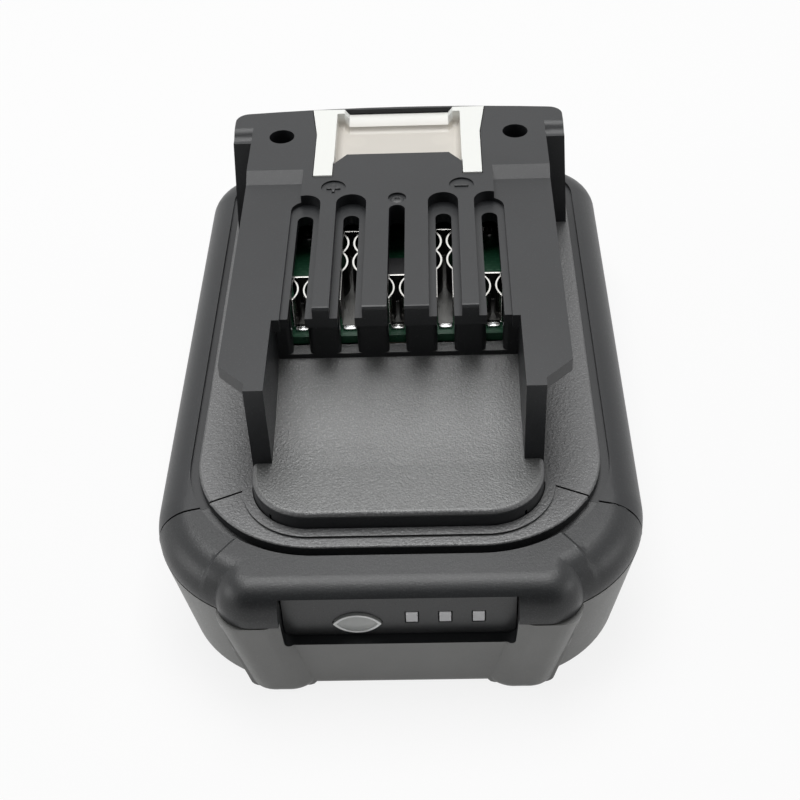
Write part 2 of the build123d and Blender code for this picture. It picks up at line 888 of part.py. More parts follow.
with BuildPart() as gauge_panel:
    with BuildSketch(upright(panel_back)):
        bottom = notch_z + slip
        top = lip_z - slip
        with Locations((0, (bottom + top) / 2)):
            RectangleRounded(2 * (notch_half_width - slip), top - bottom, notch_corner - slip)
    extrude(amount=panel_thickness)
    with BuildSketch(upright(panel_back)):
        button_outline(slip)
        windows(slip)
    extrude(amount=panel_thickness, mode=Mode.SUBTRACT)

save(gauge_panel, "gauge_panel")

with BuildPart() as gauge_button:
    with BuildSketch(upright(panel_back + clearance)):
        button_outline(0)
    extrude(amount=panel_thickness + clearance + button_proud)
    with BuildSketch(upright(panel_back + clearance + button_flange_thickness)):
        button_outline(button_flange)
    extrude(amount=button_flange_thickness)
    stem_back = gauge_board_front - switch_depth - switch_dome - button_travel - slip
    with BuildSketch(upright(stem_back)):
        with Locations((button_x, button_z)):
            Circle(button_stem)
    extrude(amount=stem_back - panel_back - clearance)

save(gauge_button, "gauge_button")

# Light guide: one pipe behind each window, joined by a bar
with BuildPart() as gauge_light_guide:
    guide_back = panel_back + clearance + guide_bar_depth
    with BuildSketch(upright(guide_back)):
        windows(0)
    extrude(amount=guide_back - panel_face)
    with BuildSketch(upright(guide_back)):
        with Locations(((window_places[0] + window_places[-1]) / 2, window_z)):
            Rectangle(window_places[-1] - window_places[0] + window_width, guide_bar_height)
    extrude(amount=guide_bar_depth)

save(gauge_light_guide, "gauge_light_guide")

# Gauge board with its lights and switch
with BuildPart() as gauge_board:
    half = gauge_board_half_width
    faces = (gauge_board_front, gauge_board_back)
    block((-half, half), faces, (gauge_board_bottom, gauge_board_bottom + gauge_board_height))

save(gauge_board, "gauge_board")

with BuildPart() as gauge_leds:
    with BuildSketch(upright(gauge_board_front)):
        with Locations(*[(x, window_z) for x in window_places]):
            Rectangle(led_width, led_height)
    extrude(amount=led_depth)

save(gauge_leds, "gauge_leds")

with BuildPart() as gauge_switch:
    with BuildSketch(upright(gauge_board_front)):
        with Locations((button_x, button_z)):
            Rectangle(switch_width, switch_width)
    extrude(amount=switch_depth)
    with BuildSketch(upright(gauge_board_front)):
        with Locations((button_x, button_z)):
            Circle(button_stem)
    extrude(amount=switch_depth + switch_dome)

save(gauge_switch, "gauge_switch")

# Flat cable from the gauge board, over the cells, up to the main board
with BuildPart() as gauge_cable:
    along = (-cable_half_width, cable_half_width)
    run_z = (tab_z, tab_z + cable_thickness)
    drop_z = tab_z - cable_top_setback
    rise_y = board_front + clearance
    block(along, (gauge_board_back, gauge_board_back + cable_thickness), (drop_z, run_z[1]))
    block(along, (gauge_board_back, rise_y + cable_thickness), run_z)
    block(along, (rise_y, rise_y + cable_thickness), (tab_z, sill_z))

save(gauge_cable, "gauge_cable")

# Cells: steel cans with a raised contact at the positive end
for number, y in enumerate(cell_places, start=1):
    nub_side = -1 if number % 2 else 1
    with BuildPart() as cell:
        can = on_side(nub_side, cell_end - cell_nub_height, -cell_end)
        with BuildSketch(Plane.YZ.offset(can[0])):
            with Locations((y, cell_z)):
                Circle(cell_radius)
        extrude(amount=can[1] - can[0])
        nub = on_side(nub_side, cell_end, cell_end - 2 * cell_nub_height)
        with BuildSketch(Plane.YZ.offset(nub[0])):
            with Locations((y, cell_z)):
                Circle(cell_nub_radius)
        extrude(amount=nub[1] - nub[0])
    save(cell, f"cell_{number}")

# Links weld neighbouring cells together; tabs lead from the two end cells
link_pairs = [(index, index + 1) for index in range(cell_count - 1)]


def link_side(pair):
    """The side of the pack on which a pair of cells is linked."""
    return 1 if pair[0] % 2 else -1


def strip_x(side):
    """The X span of a strip that lies on the ends of the cells."""
    return on_side(side, cell_end, cell_end + strip_thickness)


for pair in link_pairs:
    with BuildPart() as link:
        along = (cell_places[pair[0]] - strip_reach, cell_places[pair[1]] + strip_reach)
        block(strip_x(link_side(pair)), along, (cell_z - strip_half_width, cell_z + strip_half_width))
    save(link, f"link_strip_{pair[0] + 1}_{pair[1] + 1}")


def tab_strip(side, y, run_span, foot_span):
    """A tab from one cell's end, along a run over the cells, up to the main board."""
    end_span = (y - strip_half_width, y + strip_half_width)
    top_z = tab_z + strip_thickness
    level_span = (tab_z, top_z)
    leg_y = board_front + clearance
    leg = (leg_y, leg_y + strip_thickness)
    block(strip_x(side), end_span, (cell_z - strip_half_width, top_z))
    block(on_side(side, run_span[0], cell_end + strip_thickness), end_span, level_span)
    along = tuple(sorted((y - strip_half_width, leg_y - strip_half_width)))
    block(on_side(side, *run_span), along, level_span)
    cross = (leg_y - strip_half_width, leg_y + strip_thickness)
    block(on_side(side, *run_span), cross, level_span)
    block(on_side(side, foot_span[0], run_span[1]), cross, level_span)
    block(on_side(side, *foot_span), leg, (tab_z, sill_z))


tab_run = (tab_run_inner, tab_run_outer)
tab_foot = (slot_pitch, slot_pitch + 2 * strip_half_width)

with BuildPart() as negative_tab_strip:
    tab_strip(1, first_cell, tab_run, tab_foot)

save(negative_tab_strip, "negative_tab_strip")

with BuildPart() as positive_tab_strip:
    tab_strip(-1, last_cell, tab_run, tab_foot)

save(positive_tab_strip, "positive_tab_strip")

# Cell holders: a frame at each end of the row, channelled for the strips
for side, name in ((-1, "left"), (1, "right")):
    with BuildPart() as cell_holder:
        ends = (first_cell - cell_radius - holder_wrap, last_cell + cell_radius + holder_wrap)
        rise = (cell_z - holder_half_height, cell_z + holder_half_height)
        block(on_side(side, holder_inner, holder_outer), ends, rise)
        corners = cell_holder.edges().filter_by(Axis.X).group_by(Axis.Y)
        fillet(corners[0] + corners[-1], radius=holder_corner)
        bore = on_side(side, holder_inner - overrun, cell_end + holder_gap)
        cell_bores(bore, cell_radius + holder_gap, Mode.SUBTRACT)
        channel = on_side(side, cell_end - holder_gap, holder_outer + overrun)
        half = strip_half_width + clearance
        reach = strip_reach + clearance
        for pair in link_pairs:
            if link_side(pair) == side:
                along = (cell_places[pair[0]] - reach, cell_places[pair[1]] + reach)
                block(channel, along, (cell_z - half, cell_z + half), Mode.SUBTRACT)
        tab_y = first_cell if side > 0 else last_cell
        block(channel, (tab_y - half, tab_y + half), (cell_z - half, cell_top), Mode.SUBTRACT)
    save(cell_holder, f"cell_holder_{name}")
    with BuildPart() as insulator:
        sheet = on_side(side, holder_outer, holder_outer + insulator_thickness)
        margin = insulator_margin
        along = (ends[0] + margin, ends[1] - margin)
        block(sheet, along, (rise[0] + margin, rise[1] - margin))
        corners = insulator.edges().filter_by(Axis.X)
        fillet(corners, radius=holder_corner - margin)
    save(insulator, f"insulator_{name}")

# Board carrier: a tray over the cells that holds up the main board and the springs
with BuildPart() as board_carrier:
    half = carrier_half_width
    block((-half, half), (carrier_front, carrier_back), (carrier_z, carrier_top))
    ear = well_x + carrier_ear_reach
    ear_span = (well_y - carrier_ear_depth / 2, well_y + carrier_ear_depth / 2)
    block((-ear, ear), ear_span, (carrier_z, carrier_top))
    for side in (-1, 1):
        wall = on_side(side, half - carrier_wall, half)
        block(wall, (carrier_front, board_back), (carrier_top, sill_z))
    for y in (carrier_front, board_back - carrier_wall):
        block((-half, half), (y, y + carrier_wall), (carrier_top, carrier_top + carrier_rib_height))
    post(board_screw_places, carrier_screw_boss, (carrier_top, sill_z))
    pilot = board_screw_shank + pilot_gap
    post(board_screw_places, pilot, (board_top - board_screw_length - clearance, sill_z), Mode.SUBTRACT)
    well_seat = well_floor_z - well_floor
    post(well_places, carrier_boss, (carrier_z, well_seat))
    pilot = well_screw_shank + pilot_gap
    post(well_places, pilot, (well_floor_z - well_screw_length - clearance, well_seat), Mode.SUBTRACT)
    post(spring_places, pedestal_radius, (carrier_top, spring_bottom))
    post(spring_places, peg_radius, (spring_bottom, spring_bottom + peg_height))
    half = carrier_window / 2
    block((-half, half), (sensor_y - half, sensor_y + half), (0, sill_z), Mode.SUBTRACT)

save(board_carrier, "board_carrier")

# Temperature sensor with its lead up to the main board
with BuildPart() as temperature_sensor:
    with BuildSketch(Plane.YZ):
        with Locations((sensor_y, sensor_z)):
            Circle(sensor_radius)
    extrude(amount=sensor_length / 2, both=True)
    half = sensor_lead_width / 2
    faces = (sensor_y - sensor_lead_thickness / 2, sensor_y + sensor_lead_thickness / 2)
    block((-half, half), faces, (sensor_z, sill_z))

save(temperature_sensor, "temperature_sensor")

# Main board and its chips
with BuildPart() as main_board:
    half = board_half_width
    block((-half, half), (board_front, board_back), (sill_z, board_top))
    post(board_screw_places, board_screw_shank + clearance, (0, board_top), Mode.SUBTRACT)

save(main_board, "main_board")

with BuildPart() as power_switch_chips:
    chip_y = board_front + chip_setback
    for x in (-slot_pitch, slot_pitch):
        along = (x - chip_width / 2, x + chip_width / 2)
        faces = (chip_y - chip_length / 2, chip_y + chip_length / 2)
        block(along, faces, (board_top, board_top + chip_height))

save(power_switch_chips, "power_switch_chips")

with BuildPart() as control_chip:
    chip_y = board_front + control_chip_setback
    half = control_chip_width / 2
    faces = (chip_y - control_chip_length / 2, chip_y + control_chip_length / 2)
    block((-half, half), faces, (board_top, board_top + chip_height))

save(control_chip, "control_chip")


# Contacts: two bowed leaves on a base, pinched once or twice to grip a blade
def contact_leaf(x, side, pinches):
    """Draw one leaf of a contact in plan."""
    outer = x + side * leaf_spread
    inner = x + side * leaf_pinch
    last = contact_front + pinches[-1] + leaf_reach
    with BuildLine() as line:
        first = contact_front + pinches[0] - leaf_reach
        if first > contact_front + leaf_thickness:
            Line((outer, contact_front), (outer, first))
        for pinch in pinches:
            middle = contact_front + pinch
            start = (outer, middle - leaf_reach)
            end = (outer, middle + leaf_reach)
            ThreePointArc(start, (inner, middle), end)
        Line((outer, last), (outer, last + leaf_tail))
    trace(line.edges(), line_width=leaf_thickness)


def contact(x, pinches):
    """A whole contact in line with the slot at x."""
    tail = contact_front + pinches[-1] + leaf_reach + leaf_tail
    with BuildSketch(level(board_top)) as leaves:
        for side in (-1, 1):
            contact_leaf(x, side, pinches)
    extrude(leaves.sketch, amount=contact_height)
    half = leaf_spread + leaf_thickness / 2
    back = (tail - leaf_thickness, tail)
    block((x - half, x + half), back, (board_top, board_top + contact_height))
    block((x - half, x + half), (contact_front, tail), (board_top, board_top + contact_base))


with BuildPart() as temp_contact:
    contact(slot_places[0], signal_pinches)

save(temp_contact, "temp_contact")

with BuildPart() as positive_contact:
    contact(slot_places[1], power_pinches)

save(positive_contact, "positive_contact")

with BuildPart() as data_contact:
    contact(slot_places[2], signal_pinches)

save(data_contact, "data_contact")

with BuildPart() as negative_contact:
    contact(slot_places[3], power_pinches)

save(negative_contact, "negative_contact")

with BuildPart() as id_contact:
    contact(slot_places[4], signal_pinches)

save(id_contact, "id_contact")

# Release latch: a dished thumb plate between two arms, on a hollow skirt
with BuildPart() as thumb_dip:
    half = arm_inner - slip
    ends = (latch_front - overrun, latch_back - rim_width)
    block((-half, half), ends, (plate_z, latch_top + overrun))
    fillet(thumb_dip.faces().sort_by(Axis.Z)[0].edges(), radius=dip_round)

with BuildPart() as latch_button:
    with BuildSketch(level(latch_under)):
        latch_outline(0)
    extrude(amount=latch_top - latch_under)
    add(thumb_dip.part, mode=Mode.SUBTRACT)
    skirt_front = tongue_tip_y + skirt_front_gap
    skirt_back = latch_back - skirt_back_gap
    half = skirt_half_width
    skirt_z = (latch_under - skirt_depth, latch_under)
    block((-half, half), (skirt_front, skirt_back), skirt_z)
    wall = skirt_wall
    block((wall - half, half - wall), (skirt_front + wall, skirt_back - wall), skirt_z, Mode.SUBTRACT)
    retainer_top = head_z - head_wall - clearance
    retainer_y = skirt_back - retainer_back
    for side in (-1, 1):
        lip = on_side(side, skirt_half_width, arm_outer + retainer_reach)
        block(lip, (retainer_y - retainer_length, retainer_y), (retainer_top - retainer_height, retainer_top))
    post(spring_places, spring_seat_radius, (spring_top, latch_under))

save(latch_button, "latch_button")

with BuildPart() as latch_springs:
    post(spring_places, spring_radius, (spring_bottom, spring_top))
    post(spring_places, spring_bore, (spring_bottom, spring_top), Mode.SUBTRACT)

save(latch_springs, "latch_springs")

# Screws
with BuildPart() as case_screws:
    for place in boss_places:
        screw(place, case_screw_well, case_screw_head, case_screw_height, case_screw_shank, case_screw_length)

save(case_screws, "case_screws")

with BuildPart() as head_screws:
    for place in well_places:
        screw(place, well_floor_z, well_screw_head, well_screw_height, well_screw_shank, -well_screw_length)

save(head_screws, "head_screws")

with BuildPart() as board_screws:
    for place in board_screw_places:
        screw(place, board_top, board_screw_head, board_screw_height, board_screw_shank, -board_screw_length)

save(board_screws, "board_screws")
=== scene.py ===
import logging
from collections.abc import Iterator
from dataclasses import dataclass, field
from enum import Enum
from math import atan2, cos, pi, radians, sin, tau

import bmesh
import bpy
from bmesh.types import BMEdge, BMesh, BMFace, BMVert
from bpy.types import Material, Node, NodeSocket, NodeTree, Object
from mathutils import Matrix, Vector


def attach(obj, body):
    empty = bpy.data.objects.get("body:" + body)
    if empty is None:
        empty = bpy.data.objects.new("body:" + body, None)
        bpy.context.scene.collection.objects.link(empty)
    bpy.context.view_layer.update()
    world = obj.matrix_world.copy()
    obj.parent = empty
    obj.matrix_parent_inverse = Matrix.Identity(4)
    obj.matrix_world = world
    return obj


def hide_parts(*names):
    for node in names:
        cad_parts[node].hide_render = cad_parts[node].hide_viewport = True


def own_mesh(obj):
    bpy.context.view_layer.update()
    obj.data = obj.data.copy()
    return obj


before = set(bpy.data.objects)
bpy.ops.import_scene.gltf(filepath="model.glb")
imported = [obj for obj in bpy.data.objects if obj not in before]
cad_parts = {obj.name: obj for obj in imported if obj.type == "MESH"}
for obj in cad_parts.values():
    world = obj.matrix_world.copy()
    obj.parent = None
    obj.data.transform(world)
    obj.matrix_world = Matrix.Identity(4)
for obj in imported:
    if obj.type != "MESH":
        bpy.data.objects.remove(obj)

LOG = logging.getLogger("battery_pack")
MM = 0.001
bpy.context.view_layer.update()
JOIN_DISTANCE = 0.0005 * MM
FLAT_ANGLE = radians(0.4)
SHARP_ANGLE = radians(28)
WHITE = (1.0, 1.0, 1.0, 1.0)
NEAR = 0.02
STEP_NEAR = 0.03
CLOUD_SPAN = (0.3, 0.7)
CASE_WELLS = ((21.5, -51.2), (27.0, 53.5))

Pair = tuple[float, float]
Pairs = tuple[Pair, ...]
Colour = tuple[float, float, float]
Point = tuple[float, float, float]


class Body(Enum):
    """The moving bodies of the pack."""

    PACK = "pack"
    LATCH = "latch"
    GAUGE_KEY = "gauge_key"


class Pattern(Enum):
    """The shared surface patterns, each a shader node group."""

    GRAIN = "moulded_grain"
    BRUSHING = "brushed_lines"
    CLOUDING = "tone_clouding"


# ---- node groups shared by the finishes ----


def put(
    tree: NodeTree, kind: str, values: dict | None = None, links: dict | None = None, **settings: object
) -> Node:
    """Add a node, set its options and constants, and link what goes in.

    Args:
        tree: The tree or group that gets the node.
        kind: Last part of the node's type name.
        values: Constants by input.
        links: Sockets by the input that they feed.
        settings: Options of the node itself.

    Returns:
        The new node.
    """
    node = tree.nodes.new(f"ShaderNode{kind}")
    for name, setting in settings.items():
        setattr(node, name, setting)
    for key, value in (values or {}).items():
        node.inputs[key].default_value = value
    for key, socket in (links or {}).items():
        tree.links.new(socket, node.inputs[key])
    return node


class PatternLibrary:
    """Builds each shared node group once and hands it out."""

    groups: dict[Pattern, NodeTree] = {}

    @classmethod
    def fetch(cls, pattern: Pattern) -> NodeTree:
        """Give a pattern's node group, made on first use."""
        if pattern not in cls.groups:
            makers = {
                Pattern.GRAIN: cls.moulded_grain,
                Pattern.BRUSHING: cls.brushed_lines,
                Pattern.CLOUDING: cls.tone_clouding,
            }
            cls.groups[pattern] = makers[pattern]()
        return cls.groups[pattern]

    @staticmethod
    def blank(name: str, numbers: dict[str, float], outputs: list[str]) -> NodeTree:
        """Start a node group with a vector input, number inputs and value outputs.

        Args:
            name: The group's name.
            numbers: Name and default of each number that goes in.
            outputs: Name of each value that comes out.

        Returns:
            The group, with its input and output nodes placed.
        """
        group = bpy.data.node_groups.new(name, "ShaderNodeTree")
        group.interface.new_socket("Vector", in_out="INPUT", socket_type="NodeSocketVector")
        for label, default in numbers.items():
            socket = group.interface.new_socket(label, in_out="INPUT", socket_type="NodeSocketFloat")
            socket.default_value = default
        for label in outputs:
            group.interface.new_socket(label, in_out="OUTPUT", socket_type="NodeSocketFloat")
        group.nodes.new("NodeGroupInput").name = "in"
        group.nodes.new("NodeGroupOutput").name = "out"
        return group

    @staticmethod
    def scaled(group: NodeTree, size_socket: str) -> NodeSocket:
        """Divide the group's vector by the input that holds the pattern's size."""
        entry = group.nodes["in"]
        inverse = put(group, "Math", {0: 1.0}, {1: entry.outputs[size_socket]}, operation="DIVIDE")
        links = {0: entry.outputs["Vector"], "Scale": inverse.outputs[0]}
        return put(group, "VectorMath", None, links, operation="SCALE").outputs[0]

    @staticmethod
    def close(group: NodeTree, **results: NodeSocket) -> NodeTree:
        """Send the results to the group's outputs and give the group back."""
        for name, socket in results.items():
            group.links.new(socket, group.nodes["out"].inputs[name])
        return group

    @classmethod
    def moulded_grain(cls) -> NodeTree:
        """Make the leathery grain of a textured mould: a height and a speckle mask."""
        group = cls.blank(Pattern.GRAIN.value, {"Size": 0.5 * MM}, ["Height", "Speckle"])
        vector = {"Vector": cls.scaled(group, "Size")}
        cells = put(group, "TexVoronoi", {"Scale": 1.0, "Smoothness": 0.6}, vector, feature="SMOOTH_F1")
        pits = put(group, "TexNoise", {"Scale": 1.7, "Detail": 3.0, "Roughness": 0.55}, vector).outputs[0]
        links = {0: cells.outputs["Distance"], 2: pits}
        height = put(group, "Math", {1: -0.6}, links, operation="MULTIPLY_ADD")
        speckle = put(group, "MapRange", {"From Min": 0.52, "From Max": 0.68}, {"Value": pits})
        return cls.close(group, Height=height.outputs[0], Speckle=speckle.outputs[0])

    @classmethod
    def brushed_lines(cls) -> NodeTree:
        """Make the fine drawn lines of rolled strip: one mask along Y."""
        group = cls.blank(Pattern.BRUSHING.value, {"Size": 0.4 * MM}, ["Lines"])
        drawn = {0: cls.scaled(group, "Size")}
        stretch = put(group, "VectorMath", {1: (1.0, 0.06, 1.0)}, drawn, operation="MULTIPLY")
        noise = put(group, "TexNoise", {"Scale": 3.0, "Detail": 4.0}, {"Vector": stretch.outputs[0]})
        return cls.close(group, Lines=noise.outputs[0])

    @classmethod
    def tone_clouding(cls) -> NodeTree:
        """Make the soft clouding of a handled surface: one broad mask and one of fine dust."""
        group = cls.blank(Pattern.CLOUDING.value, {"Size": 14 * MM}, ["Cloud", "Dust"])
        vector = {"Vector": cls.scaled(group, "Size")}
        cloud = put(group, "TexNoise", {"Scale": 1.0, "Detail": 5.0, "Roughness": 0.6}, vector)
        grit = put(group, "TexNoise", {"Scale": 60.0, "Detail": 2.0}, vector)
        dust = put(group, "MapRange", {"From Min": 0.62, "From Max": 0.78}, {"Value": grit.outputs[0]})
        return cls.close(group, Cloud=cloud.outputs[0], Dust=dust.outputs[0])


class Canvas:
    """A material under construction, with its shader and its pattern nodes."""

    def __init__(self, name: str) -> None:
        """Open a material with a Principled shader and Object coordinates."""
        self.material = bpy.data.materials.new(name)
        self.material.use_nodes = True
        self.tree = self.material.node_tree
        self.tree.nodes.clear()
        self.shader = put(self.tree, "BsdfPrincipled")
        put(self.tree, "OutputMaterial", None, {"Surface": self.shader.outputs[0]})
        self.place = put(self.tree, "TexCoord").outputs["Object"]

    def pattern(self, pattern: Pattern, size: float) -> Node:
        """Place a shared pattern with cells or clouds of the given size in metres."""
        node = put(self.tree, "Group", node_tree=PatternLibrary.fetch(pattern))
        node.inputs["Size"].default_value = size
        self.tree.links.new(self.place, node.inputs["Vector"])
        return node

    def blend(self, mask: NodeSocket, low: object, high: object) -> NodeSocket:
        """Mix two colours, each a tuple or a socket, by a mask.

        Args:
            mask: The mask's socket.
            low: Colour where the mask is 0.
            high: Colour where the mask is 1.

        Returns:
            The mixed colour's socket.
        """
        mix = put(self.tree, "Mix", None, {0: mask}, data_type="RGBA")
        for socket, colour in ((mix.inputs[6], low), (mix.inputs[7], high)):
            if isinstance(colour, tuple):
                socket.default_value = (*colour, 1.0)
            else:
                self.tree.links.new(colour, socket)
        return mix.outputs[2]

    def span(self, value: NodeSocket, source: tuple, target: tuple) -> NodeSocket:
        """Map a value from the source range to the target range."""
        values = {"From Min": source[0], "From Max": source[1], "To Min": target[0], "To Max": target[1]}
        return put(self.tree, "MapRange", values, {"Value": value}).outputs[0]

    def emboss(self, height: NodeSocket, depth: float) -> None:
        """Give the surface relief of the given depth in metres."""
        bump = put(self.tree, "Bump", {"Strength": 1.0, "Distance": depth}, {"Height": height})
        self.tree.links.new(bump.outputs[0], self.shader.inputs["Normal"])

    def paint(self, colour: NodeSocket) -> None:
        """Send a colour to the shader."""
        self.tree.links.new(colour, self.shader.inputs["Base Color"])

    def polish(self, roughness: NodeSocket) -> None:
        """Send a roughness to the shader."""
        self.tree.links.new(roughness, self.shader.inputs["Roughness"])


# ---- finishes ----


@dataclass(frozen=True)
class MouldedPlastic:
    """Moulded plastic with mould grain, soft clouding, a little dust and, where asked, painted glints on the grain's
    speckles.
    """

    name: str
    colour: Colour
    roughness: float
    grain_size: float
    grain_depth: float
    variation: float = 0.14
    dust: float = 0.05
    shine: float = 0.5
    sparkle: float = 0.0
    cloud_size: float = 16 * MM
    roughness_swing: float = 0.05

    def make(self) -> Material:
        """Build the material."""
        canvas = Canvas(self.name)
        grain = canvas.pattern(Pattern.GRAIN, self.grain_size)
        tone = canvas.pattern(Pattern.CLOUDING, self.cloud_size)
        dark = tuple(c * (1 - self.variation) for c in self.colour)
        light = tuple(min(1.0, c * (1 + self.variation)) for c in self.colour)
        dusty = tuple(c + (0.5 - c) * self.dust for c in self.colour)
        cloud = canvas.span(tone.outputs["Cloud"], CLOUD_SPAN, (0.0, 1.0))
        base = canvas.blend(cloud, dark, light)
        # Painted highlight: the grain's speckles are painted a lighter colour, standing in for the glints that the
        # grain catches.
        if self.sparkle:
            glint = tuple(min(1.0, c * (1 + self.sparkle)) for c in self.colour)
            base = canvas.blend(grain.outputs["Speckle"], base, glint)
        canvas.paint(canvas.blend(tone.outputs["Dust"], base, dusty))
        ends = (self.roughness + self.roughness_swing, self.roughness - self.roughness_swing)
        canvas.polish(canvas.span(grain.outputs["Speckle"], (0, 1), ends))
        canvas.emboss(grain.outputs["Height"], self.grain_depth)
        canvas.shader.inputs["Specular IOR Level"].default_value = self.shine
        return canvas.material


@dataclass(frozen=True)
class BrightMetal:
    """Plated or plain metal with fine drawn lines and a faint tarnish."""

    name: str
    colour: Colour
    roughness: float = 0.25
    tarnish: Colour = (0.42, 0.38, 0.32)
    line_size: float = 0.4 * MM
    line_depth: float = 0.002 * MM
    stain_size: float = 5 * MM

    def make(self) -> Material:
        """Build the material."""
        canvas = Canvas(self.name)
        lines = canvas.pattern(Pattern.BRUSHING, self.line_size)
        tone = canvas.pattern(Pattern.CLOUDING, self.stain_size)
        stain = canvas.span(tone.outputs["Cloud"], (0.45, 0.85), (0.0, 0.55))
        canvas.paint(canvas.blend(stain, self.colour, self.tarnish))
        low, high = self.roughness - 0.06, self.roughness + 0.12
        canvas.polish(canvas.span(lines.outputs["Lines"], CLOUD_SPAN, (low, high)))
        canvas.emboss(lines.outputs["Lines"], self.line_depth)
        canvas.shader.inputs["Metallic"].default_value = 1.0
        return canvas.material


@dataclass(frozen=True)
class BoardLacquer:
    """Solder mask over woven glass: green with faint tracks showing through."""

    name: str = "board_lacquer"
    colour: Colour = (0.012, 0.07, 0.035)
    track: Colour = (0.03, 0.15, 0.07)
    track_pitch: float = 3.2 * MM
    track_gap: float = 0.12

    def make(self) -> Material:
        """Build the material."""
        canvas = Canvas(self.name)
        tone = canvas.pattern(Pattern.CLOUDING, 3 * MM)
        pale, dark = (1, 1, 1, 1), (0, 0, 0, 1)
        spacing = {"Scale": 1 / self.track_pitch, "Mortar Size": self.track_gap}
        shades = {"Color1": pale, "Color2": pale, "Mortar": dark}
        tracks = put(canvas.tree, "TexBrick", {**spacing, **shades}, {"Vector": canvas.place})
        mixed = canvas.blend(tracks.outputs["Fac"], self.track, self.colour)
        canvas.paint(canvas.blend(tone.outputs["Dust"], mixed, self.track))
        canvas.polish(canvas.span(tone.outputs["Cloud"], CLOUD_SPAN, (0.24, 0.38)))
        canvas.emboss(tracks.outputs["Fac"], 0.01 * MM)
        return canvas.material


@dataclass(frozen=True)
class PrintedSleeve:
    """A shrink sleeve or sheet: one colour with clouding and a fine paper tooth."""

    name: str
    colour: Colour
    roughness: float = 0.35
    tooth: float = 0.25 * MM

    def make(self) -> Material:
        """Build the material."""
        canvas = Canvas(self.name)
        grain = canvas.pattern(Pattern.GRAIN, self.tooth)
        tone = canvas.pattern(Pattern.CLOUDING, 9 * MM)
        deep = tuple(c * 0.8 for c in self.colour)
        canvas.paint(canvas.blend(tone.outputs["Cloud"], deep, self.colour))
        canvas.polish(canvas.span(tone.outputs["Cloud"], CLOUD_SPAN, (self.roughness, self.roughness + 0.12)))
        canvas.emboss(grain.outputs["Height"], 0.004 * MM)
        return canvas.material


@dataclass(frozen=True)
class LatchPlastic:
    """White moulded latch whose dished thumb plate is painted darker and warmer than its arms: partly a warmer tint of
    the plastic, partly painted shade in the dish.
    """

    name: str = "latch_white"
    arm: Colour = (0.81, 0.82, 0.79)
    # The plate colour is partly a warmer tint and partly painted shade.
    plate: Colour = (0.60, 0.57, 0.52)
    plate_top: float = 41.0 * MM
    arm_foot: float = 42.6 * MM
    sink_x: float = 8.0 * MM
    sink_y: float = 38.0 * MM
    sink_radius: float = 2.2 * MM

    def make(self) -> Material:
        """Build the material."""
        canvas = Canvas(self.name)
        tree = canvas.tree
        split = put(tree, "SeparateXYZ", None, {0: canvas.place})
        # Painted shade, partly a warm tint: between the arms' foot and the plate's top, the colour goes from the arms'
        # white to the darker, warmer plate colour.
        upper = canvas.span(split.outputs["Z"], (self.plate_top, self.arm_foot), (0.0, 1.0))
        base = canvas.blend(upper, self.plate, self.arm)
        # Sink marks over the two spring seats
        folded = put(tree, "Math", None, {0: split.outputs["X"]}, operation="ABSOLUTE")
        flat = put(tree, "CombineXYZ", None, {"X": folded.outputs[0], "Y": split.outputs["Y"]})
        seat = {1: (self.sink_x, self.sink_y, 0.0)}
        away = put(tree, "VectorMath", seat, {0: flat.outputs[0]}, operation="DISTANCE")
        mark = canvas.span(away.outputs["Value"], (self.sink_radius * 0.7, self.sink_radius), (0.25, 0.0))
        pale = tuple(min(1.0, c * 1.12) for c in self.plate)
        tone = canvas.pattern(Pattern.CLOUDING, 12 * MM)
        canvas.paint(canvas.blend(mark, base, pale))
        canvas.polish(canvas.span(tone.outputs["Cloud"], CLOUD_SPAN, (0.34, 0.46)))
        grain = canvas.pattern(Pattern.GRAIN, 0.3 * MM)
        canvas.emboss(grain.outputs["Height"], 0.003 * MM)
        return canvas.material


def moulded(name: str, colour: Colour, roughness: float, grain: Pair, **looks: float) -> Material:
    """Make a moulded plastic.

    Args:
        name: Its name.
        colour: Its colour.
        roughness: Its roughness.
        grain: Size and depth of its grain, in millimetres.
        looks: Further fields of MouldedPlastic.

    Returns:
        The material.
    """
    size, depth = (value * MM for value in grain)
    return MouldedPlastic(name, colour, roughness, size, depth, **looks).make()


